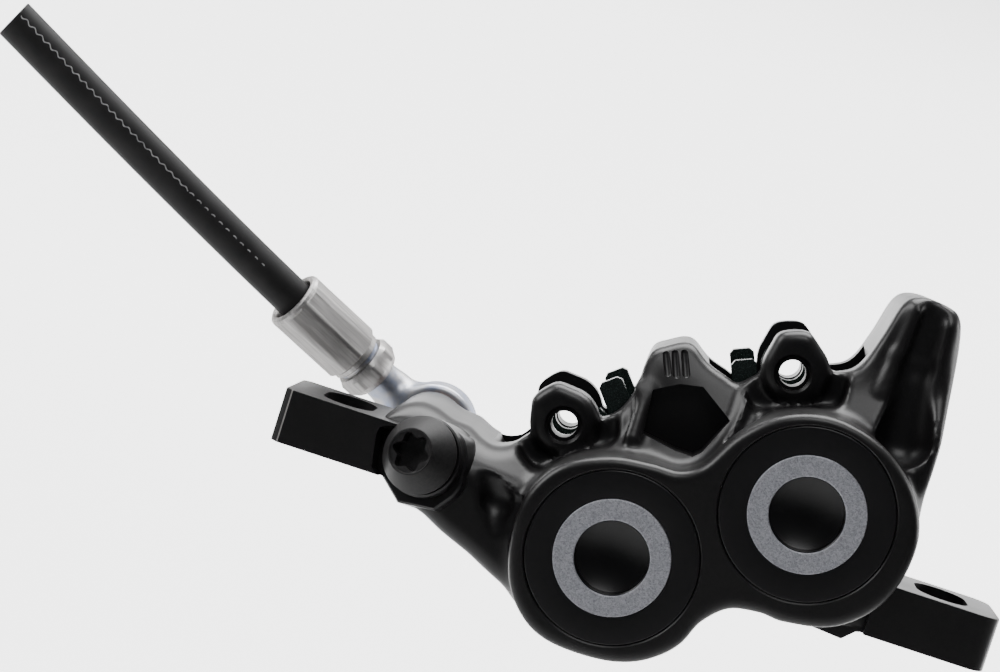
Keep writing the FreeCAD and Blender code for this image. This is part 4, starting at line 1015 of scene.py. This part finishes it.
def body_cutters():
    half = ROTOR_SLOT_HALF
    cutters = [hole("rotor_slot", ROTOR.x, ROTOR.z, ROTOR_SLOT_RADIUS, -half, half, 360)]
    for side in SIDES:
        px, pz = PISTON[side].x, PISTON[side].z
        cutters.append(window_cutter(side))
        cutters.append(hole("bore_" + side, px, pz, BORE_RADIUS, FRONT, BORE_END))
        wall, floor = CAP_RADIUS + CAP_GAP, OUTER_FACE + CAP_DEPTH
        seat = [
            (0.0, FRONT), (wall + 0.7, FRONT), (wall, OUTER_FACE + 0.14), (wall, floor), (0.0, floor),
        ]
        cutters.append(lathe("seat_" + side, seat, (px, 0.0, pz), INBOARD, None, 160))
        ax, az = PIN[side].x, PIN[side].z
        cutters.append(hole("pin_" + side, ax, az, PIN_RADIUS, -20.0, 20.0, 64))
        spot = [
            (0.0, -12.0), (2.5, -12.0), (2.3, -LUG_FRONT), (1.98, -LUG_FRONT + 0.35),
            (1.98, -LUG_FRONT + 1.5), (0.0, -LUG_FRONT + 1.5),
        ]
        cutters.append(lathe("spot_" + side, spot, (ax, 0.0, az), INBOARD, None, 72))
    for tag, x in (("left", -SLOT_X), ("right", SLOT_X)):
        cutters.append(slot_cutter("slot_" + tag, x))
    cutters.append(hole("port", PORT.x, PORT.z, 3.0, -0.1, 8.0, 64))
    return cutters


POCKET_CORNERS = [
    (-2.4, 13.7), (-2.9, 18.9), (0.0, 20.5), (2.7, 21.0),
    (6.9, 18.3), (4.8, 13.9), (3.9, 13.1), (1.8, 13.1),
]


FLUTES = [
    # Ball-nosed grooves over the pocket: two ends and a radius.
    ((-2.75, -8.0, 23.5), (-1.75, -9.1, 21.3), 0.5),
    ((-1.75, -7.8, 23.9), (-0.75, -9.0, 21.4), 0.5),
    ((-0.65, -7.6, 24.2), (0.35, -8.8, 21.8), 0.5),
]


def capsule(name, a, b, radius):
    """A rod with ball ends, for grooves."""
    a, b = Vector(a), Vector(b)
    length = (b - a).length
    profile = [(0.0, -radius)]
    for s in range(1, 7):
        t = math.pi / 2.0 * s / 6.0
        profile.append((radius * math.sin(t), -radius * math.cos(t)))
    profile += [(r, length - h) for r, h in reversed(profile)]
    return lathe(name, profile, a, b - a, None, 32)


def hump_cutters():
    pocket = prism("hump_pocket", POCKET_CORNERS[::-1], -24.0, -8.2)
    return [pocket] + [capsule("flute", a, b, radius) for a, b, radius in FLUTES]


def make_body():
    body = grown("body_shell", body_distance, BODY_LOW, BODY_HIGH, BODY_STEP, BLACK)
    left = ear("ear_left", -1.0, LEFT_END + 1.2)
    right = ear("ear_right", 1.0, RIGHT_END - 2.0)
    boolean(body, [left, right, web()], "UNION")
    room = on_bleed_axis("bleed_recess", [(0.0, 1.3), (6.3, 1.3), (6.6, 8.0), (0.0, 8.0)], 0.12)
    boolean(body, [room], "DIFFERENCE")
    collar = on_bleed_axis("bleed_collar", [
        (0.0, -5.0), (COLLAR_RADIUS, -5.0), (COLLAR_RADIUS, 1.05), (COLLAR_RADIUS - 0.25, 1.32), (0.0, 1.32),
    ], 0.0)
    boss = on_bleed_axis("bleed_boss", [
        (0.0, -6.0), (BLEED_RADIUS, -6.0), (BLEED_RADIUS, 2.4), (4.6, BLEED_REACH), (0.0, BLEED_REACH),
    ])
    boolean(body, [collar, boss], "UNION")
    boolean(body, body_cutters() + hump_cutters(), "DIFFERENCE")
    body.name = "caliper_casting"
    soften(body, 30.0, even=True)
    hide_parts("caliper_body")
    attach(body, "caliper")
    return body


make_body()


# Bore caps with their inlaid rings.
def make_cap(side):
    px, pz = PISTON[side].x, PISTON[side].z
    face = OUTER_FACE + 0.05
    origin = (px, 0.0, pz)
    inset = OUTER_FACE + 0.35
    cap = lathe(
        "cap_" + side,
        rounded_profile([
            (0.0, inset + 4.1, 0.0), (4.25, inset + 1.6, 0.0), (4.25, face + 0.1, 0.0),
            (4.33, face + 0.02, 0.0), (4.36, face + 0.35, 0.0), (6.84, face + 0.35, 0.0), (6.9, face, 0.05),
            (10.0, face, 0.08), (CAP_RADIUS, face + 0.15, 0.0), (CAP_RADIUS, OUTER_FACE + CAP_DEPTH, 0.0),
            (7.5, OUTER_FACE + CAP_DEPTH, 0.0), (7.5, OUTER_FACE + 5.9, 0.0), (0.0, OUTER_FACE + 5.9, 0.0),
        ]),
        origin, INBOARD, CAP_BLACK, 160,
    )
    soften(cap, 20.0)
    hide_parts(f"bore_cap_{side}")
    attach(cap, "caliper")
    ring = lathe(
        "ring_" + side,
        [(4.38, face - 0.02), (4.5, face - 0.1), (6.72, face - 0.1), (6.82, face - 0.02), (6.82, face + 0.34),
         (4.38, face + 0.34)],
        origin, INBOARD, GREY, 160,
    )
    soften(ring, 30.0)
    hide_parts(f"cap_ring_{side}")
    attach(ring, "caliper")


for cap_side in SIDES:
    make_cap(cap_side)


# Bleed screw: a cone with a six-lobe recess.
def make_bleed_screw():
    def lobed(radius, height, a):
        if radius > 2.4 or height < 2.0:
            return radius
        return radius * (0.87 + 0.13 * math.cos(6.0 * a))

    profile = [
        (0.0, -5.0), (2.2, -5.0), (2.2, 0.7), (4.5, 0.7), (4.65, 0.85), (4.65, 1.0), (2.86, 3.78),
        (2.76, 3.9), (2.66, 3.93), (2.5, 3.75), (2.38, 3.7), (2.38, 2.2), (0.0, 2.0),
    ]
    origin = BLEED_ROOT + BLEED_AXIS * BLEED_REACH
    screw = lathe("bleed_cone", profile, origin, BLEED_AXIS, OXIDE, 144, lobed)
    soften(screw, 30.0)
    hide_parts("bleed_screw")
    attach(screw, "caliper")


make_bleed_screw()

# Hose end: the banjo, its bolt and the union nut, all along the fitting axis.
ELBOW = Vector((-34.230, 10.6, 6.719))
ELBOW_REACH = 6.56
EYE = Vector((PORT.x, 10.6, PORT.z))
EYE_RADIUS = 5.35
EYE_HALF = 3.0
BANJO_STEP = 0.3
STEM_RADIUS = 2.5
NECK_RADIUS = 2.7
EYE_HOLE = 3.3
RING_FLAT = 3.78
NUT_FLAT = 3.76
CRIMP = (14.3, 24.4)
SLEEVE_INSIDE = 3.2
SEAL_RADII = (3.1, 4.1)
BOLT_SHANK = 2.95
BOLT_HEAD = 4.7


def station(distance):
    """A point on the fitting axis, measured from the eye's centre along the bent stem."""
    return ELBOW + HOSE_AXIS * (distance - ELBOW_REACH)


def crimp_turn():
    """The angle that puts an edge of the crimped sleeve just above its middle, seen by the camera."""
    u, v = across_axis(HOSE_AXIS)
    toward = (Vector(CAMERA_PLACE) - station(19.0)).normalized()
    upward = Vector((0.5, 0.0, 0.85))
    middle = math.atan2(toward.dot(v), toward.dot(u))
    above = math.atan2(upward.dot(v), upward.dot(u))
    way = 1.0 if math.sin(above - middle) > 0.0 else -1.0
    return middle + way * math.radians(6.0)


def make_banjo():
    turn = crimp_turn()

    def shape(x, y, z):
        eye = drum(x, y, z, EYE - Vector((0, EYE_HALF, 0)), EYE + Vector((0, EYE_HALF, 0)), EYE_RADIUS, 0.8)
        stem = rod(x, y, z, ELBOW, station(10.4), STEM_RADIUS, STEM_RADIUS)
        neck = rod(x, y, z, EYE + (ELBOW - EYE) * 0.45, ELBOW, NECK_RADIUS, STEM_RADIUS)
        return smooth_min(eye, smooth_min(stem, neck, 1.0), 1.6)

    def flats(radius, height, a):
        return min(radius, flat_sided(RING_FLAT, 8, a, turn))

    low = (EYE.x - 15.0, 2.0, EYE.z - 7.0)
    high = (EYE.x + 6.5, EYE.y + 4.2, EYE.z + 10.0)
    banjo = grown("banjo_forging", shape, low, high, BANJO_STEP, ZINC)
    room = [(-60.0, -20.0), (-20.0, -20.0), (-20.0, 30.0), (-60.0, 30.0)]
    keep = prism("keep", room, 4.0, EYE.y + EYE_HALF)
    boolean(banjo, [keep], "INTERSECT")
    boolean(banjo, [hole("eye_hole", EYE.x, EYE.z, EYE_HOLE, 4.0, 20.0, 72)], "DIFFERENCE")
    ring = lathe(
        "ring_flats",
        [(0.0, 9.75), (3.1, 9.75), (3.45, 10.0), (4.05, 10.7), (4.05, 12.3),
         (3.6, 12.85), (3.3, 12.9), (0.0, 12.9)],
        station(0.0), HOSE_AXIS, BRIGHT, 144, flats,
    )
    nose = lathe(
        "nose", [(0.0, 12.5), (3.05, 12.5), (3.05, 16.4), (0.0, 16.4)], station(0.0), HOSE_AXIS, ZINC, 64,
    )
    bright = len(ring.data.polygons)
    banjo = join_all([ring, banjo, nose], "banjo_forging")
    banjo.data.materials.append(ZINC)
    banjo.data.materials.append(BRIGHT)
    for face in banjo.data.polygons:
        face.material_index = 1 if face.index < bright else 0
    soften(banjo, 30.0)
    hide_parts("banjo_fitting")
    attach(banjo, "hose_line")


make_banjo()


def make_nut():
    """A long crimped sleeve with eight flats, a turned mouth and a narrower band at its near end."""
    turn = crimp_turn()

    def crimped(radius, height, a):
        if CRIMP[0] < height < CRIMP[1] and radius > SLEEVE_INSIDE:
            return min(radius, flat_sided(NUT_FLAT, 8, a, turn))
        return radius

    profile = [
        (3.1, 13.4), (3.3, 13.4), (3.5, 13.55), (3.5, 14.1), (3.9, 14.4), (4.0, 14.5), (4.0, 24.2),
        (4.0, 24.5), (3.9, 24.85), (3.6, 25.08), (3.35, 25.1), (3.05, 24.95), (2.9, 24.6),
        (2.88, 20.4), (3.1, 20.0),
    ]
    nut = lathe("nut_sleeve", profile, station(0.0), HOSE_AXIS, BRIGHT, 144, crimped)
    soften(nut, 25.0)
    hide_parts("union_nut")
    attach(nut, "hose_line")


make_nut()


def make_seal(where):
    """A turned copper washer with softened edges."""
    low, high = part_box(f"banjo_seal_{where}")
    y_low, y_high = low.y / MM, high.y / MM
    inner, outer = SEAL_RADII
    seal = lathe("seal_turned", rounded_profile([
        (inner, y_low, 0.0), (outer, y_low, 0.15), (outer, y_high, 0.15), (inner, y_high, 0.0),
    ]), (PORT.x, 0.0, PORT.z), INBOARD, COPPER, 96)
    seal.name = f"seal_turned_{where}"
    soften(seal, 30.0)
    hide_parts(f"banjo_seal_{where}")
    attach(seal, "caliper")


for seal_where in ("inner", "outer"):
    make_seal(seal_where)


def make_bolt():
    foot, start = PORT_FACE - 5.5, PORT_FACE + 8.0
    profile = rounded_profile([
        (0.0, foot, 0.0), (BOLT_SHANK, foot, 0.0), (BOLT_SHANK, start, 0.0), (BOLT_HEAD, start, 0.1),
        (BOLT_HEAD, start + 4.0, 0.5), (2.5, start + 4.0, 0.1), (2.4, start + 1.4, 0.0),
        (0.0, start + 1.2, 0.0),
    ])

    def socket(radius, height, a):
        if radius < 2.6 and height > start + 1.0:
            return flat_sided(radius * 0.96, 6, a, -math.pi / 6.0)
        return radius

    bolt = lathe("bolt_turned", profile, (PORT.x, 0.0, PORT.z), INBOARD, ZINC, 96, socket)
    soften(bolt, 30.0)
    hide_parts("banjo_bolt")
    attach(bolt, "caliper")


make_bolt()

# Pad plates with their eyelets and bent-up tabs.
TABS = {
    # The tab's two edges across the pad and its top along it.
    ("outboard", "left"): (4.6, 7.6, 18.3),
    ("outboard", "right"): (-6.97, -3.97, 17.15),
    ("inboard", "left"): (5.15, 8.15, 18.7),
    ("inboard", "right"): (-7.0, -4.0, 18.0),
}
PLATE_HALF = 9.25
PLATE_FOOT = 9.8
PLATE_SHOULDER = 8.2
EYELET = 3.45
TAB_CORNER = 0.5
TAB_FOOT = 5.0


def make_pad_plate(where, side):
    low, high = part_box(f"pad_plate_{where}_{side}")
    y_low, y_high = low.y / MM, high.y / MM
    half, foot, shoulder = PLATE_HALF, PLATE_FOOT, PLATE_SHOULDER
    right_half = [(half - 2.4, -foot), (half - 0.9, 2.0 - foot), (half, 4.0), (half, shoulder - 1.6),
                  (half - 1.6, shoulder), (EYELET + 1.6, shoulder + 2.4), (EYELET - 0.2, 15.0)]
    corners = right_half + [(-u, v) for u, v in reversed(right_half)]
    pad = prism("pad_plate", [pad_frame(side, u, v) for u, v in corners], y_low, y_high, PAINT)
    head = hole("eyelet", PIN[side].x, PIN[side].z, EYELET, y_low, y_high, 72)
    start, stop, top = TABS[(where, side)]
    cut = TAB_CORNER
    tab_corners = [
        (start, TAB_FOOT), (stop, TAB_FOOT), (stop, top - cut),
        (stop - cut, top), (start + cut, top), (start, top - cut),
    ]
    tab = prism("tab", [pad_frame(side, u, v) for u, v in tab_corners], y_low, y_high)
    boolean(pad, [head, tab], "UNION")
    boolean(pad, [hole("pin", PIN[side].x, PIN[side].z, 1.75, y_low - 1.0, y_high + 1.0, 64)], "DIFFERENCE")
    bevel(pad, 0.22, 3, 30.0)
    pad.name = f"pad_backing_{where}_{side}"
    soften(pad, 30.0, even=True)
    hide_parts(f"pad_plate_{where}_{side}")
    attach(pad, f"pad_{where}_{side}")


for pad_where in ("outboard", "inboard"):
    for pad_side in SIDES:
        make_pad_plate(pad_where, pad_side)

# The remaining carried-over nodes get their finish.
FINISHES = {
    "seal_rubber": SEAL,
    "piston_metal": PISTON_METAL,
    "magnet_metal": MAGNET,
    "plate_paint": PAINT,
    "friction": LINING,
    "copper": COPPER,
    "olive_brass": BRASS,
    "zinc": ZINC,
    "bright_metal": BRIGHT,
    "screw_black": OXIDE,
    "body_black": BLACK,
    "cap_black": CAP_BLACK,
    "ring_grey": GREY,
    "hose_black": HOSE,
}
for part in frame["record"]["subparts"]:
    carried = frame["nodes"][part["node"]]
    carried.data.materials.clear()
    carried.data.materials.append(FINISHES[part["material_slot"]])


# Printed line on the hose: a fine wavy thread that breaks into dashes near the nut.
PRINT_WIDTH = 0.16
PRINT_START = 13.0
PRINT_STEP = 0.12
PRINT_WAVE = 1.25
PRINT_LIFT = 0.02


def make_print():
    line = HOSE_LINE
    lengths = [0.0]
    for a, b in zip(line, line[1:]):
        lengths.append(lengths[-1] + (b - a).length)
    total = lengths[-1]

    def at(s):
        for i in range(1, len(line)):
            if lengths[i] >= s:
                t = (s - lengths[i - 1]) / (lengths[i] - lengths[i - 1])
                return line[i - 1].lerp(line[i], t), (line[i] - line[i - 1]).normalized()
        return line[-1], (line[-1] - line[-2]).normalized()

    points, faces = [], []
    toward = Vector((0.0, -1.0, 0.0))
    start, stop = PRINT_START, total - 0.1
    s = start
    last = None
    while s < stop:
        middle, along = at(s)
        side = along.cross(toward).normalized()
        out = side.cross(along).normalized()
        reach = (s - start) / (stop - start)
        drift = 0.80 + 0.5 * reach * reach
        wave = drift + 0.16 * min(1.0, 0.35 + reach) * math.sin(2.0 * math.pi * s / PRINT_WAVE)
        gap = reach < 0.33 and (s % PRINT_WAVE) > 0.6 + 0.6 * reach
        row = []
        for edge in (-PRINT_WIDTH / 2.0, PRINT_WIDTH / 2.0):
            angle = (wave + edge) / HOSE_RADIUS
            spoke = out * math.cos(angle) + side * math.sin(angle)
            row.append(len(points))
            points.append(middle + spoke * (HOSE_RADIUS + PRINT_LIFT))
        if last is not None and not gap:
            faces.append((last[0], last[1], row[1], row[0]))
        last = None if gap else row
        s += PRINT_STEP
    mesh = bpy.data.meshes.new("hose_print")
    mesh.from_pydata([tuple(p * MM) for p in points], [], faces)
    print_line = add_object("hose_print", mesh, PRINT)
    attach(print_line, "hose_line")


make_print()


# Stage: a pale floor that sweeps up into a pale wall that glows as painted light, and soft studio light.
def stage_material():
    m, shader = new_material("stage_pale", (0.80, 0.80, 0.80), 0.0, 0.9)
    parts = split_coordinates(m)
    # Painted light: the sweep glows, not at all near the part, fully at the back wall, and dimmer higher up.
    glow = spread(m, parts["Y"], 0.0, 3.0, 0.30, 0.85, interpolation_type="SMOOTHSTEP")
    fade = spread(m, parts["Z"], 1.0, 0.25, 0.12, 0.35, interpolation_type="SMOOTHSTEP")
    shader.inputs["Emission Color"].default_value = (1.0, 1.0, 1.0, 1.0)
    link(m, combine(m, "MULTIPLY", glow, fade), shader.inputs["Emission Strength"])
    return m


def make_stage():
    floor_z, wall_y, bend, width = -0.42, 1.2, 0.3, 1.8
    profile = [(-1.6, floor_z), (wall_y - bend, floor_z)]
    for s in range(1, 13):
        a = math.pi / 2.0 * s / 12.0
        profile.append((wall_y - bend + bend * math.sin(a), floor_z + bend - bend * math.cos(a)))
    profile.append((wall_y, 1.0))
    points = [(side * width, y, z) for y, z in profile for side in (-1.0, 1.0)]
    faces = [(2 * i, 2 * i + 1, 2 * i + 3, 2 * i + 2) for i in range(len(profile) - 1)]
    mesh = bpy.data.meshes.new("stage_sweep")
    mesh.from_pydata(points, [], faces)
    mesh.shade_smooth()
    sweep = add_object("stage_sweep", mesh, stage_material())


make_stage()


LIGHTS = {
    # Each soft box: its place, what it looks at, its size and its power.
    "top_box": ((-0.05, 0.32, 0.80), (0.0, 0.0, 0.0), (0.9, 0.5), 15.0),
    "fill_box": ((0.0, -0.40, 0.75), (0.0, 0.0, 0.0), (0.5, 0.3), 2.5),
    "left_box": ((-0.75, -0.05, 0.45), (0.0, 0.0, 0.02), (0.4, 0.5), 5.0),
    "right_box": ((0.8, 0.25, 0.30), (0.0, 0.0, 0.01), (0.4, 0.5), 4.0),
}


def make_light():
    world = bpy.data.worlds.new("Studio")
    world.use_nodes = True
    background = world.node_tree.nodes["Background"]
    background.inputs["Color"].default_value = (0.93, 0.95, 1.0, 1.0)
    background.inputs["Strength"].default_value = 0.10
    bpy.context.scene.world = world
    for name, (place, target, size, power) in LIGHTS.items():
        data = bpy.data.lights.new(name, "AREA")
        data.shape = "RECTANGLE"
        data.size, data.size_y = size
        data.energy = power
        light = bpy.data.objects.new(name, data)
        light.location = place
        aim = Vector(target) - Vector(place)
        light.rotation_euler = aim.to_track_quat("-Z", "Y").to_euler()
        bpy.context.scene.collection.objects.link(light)


make_light()

bpy.context.view_layer.update()
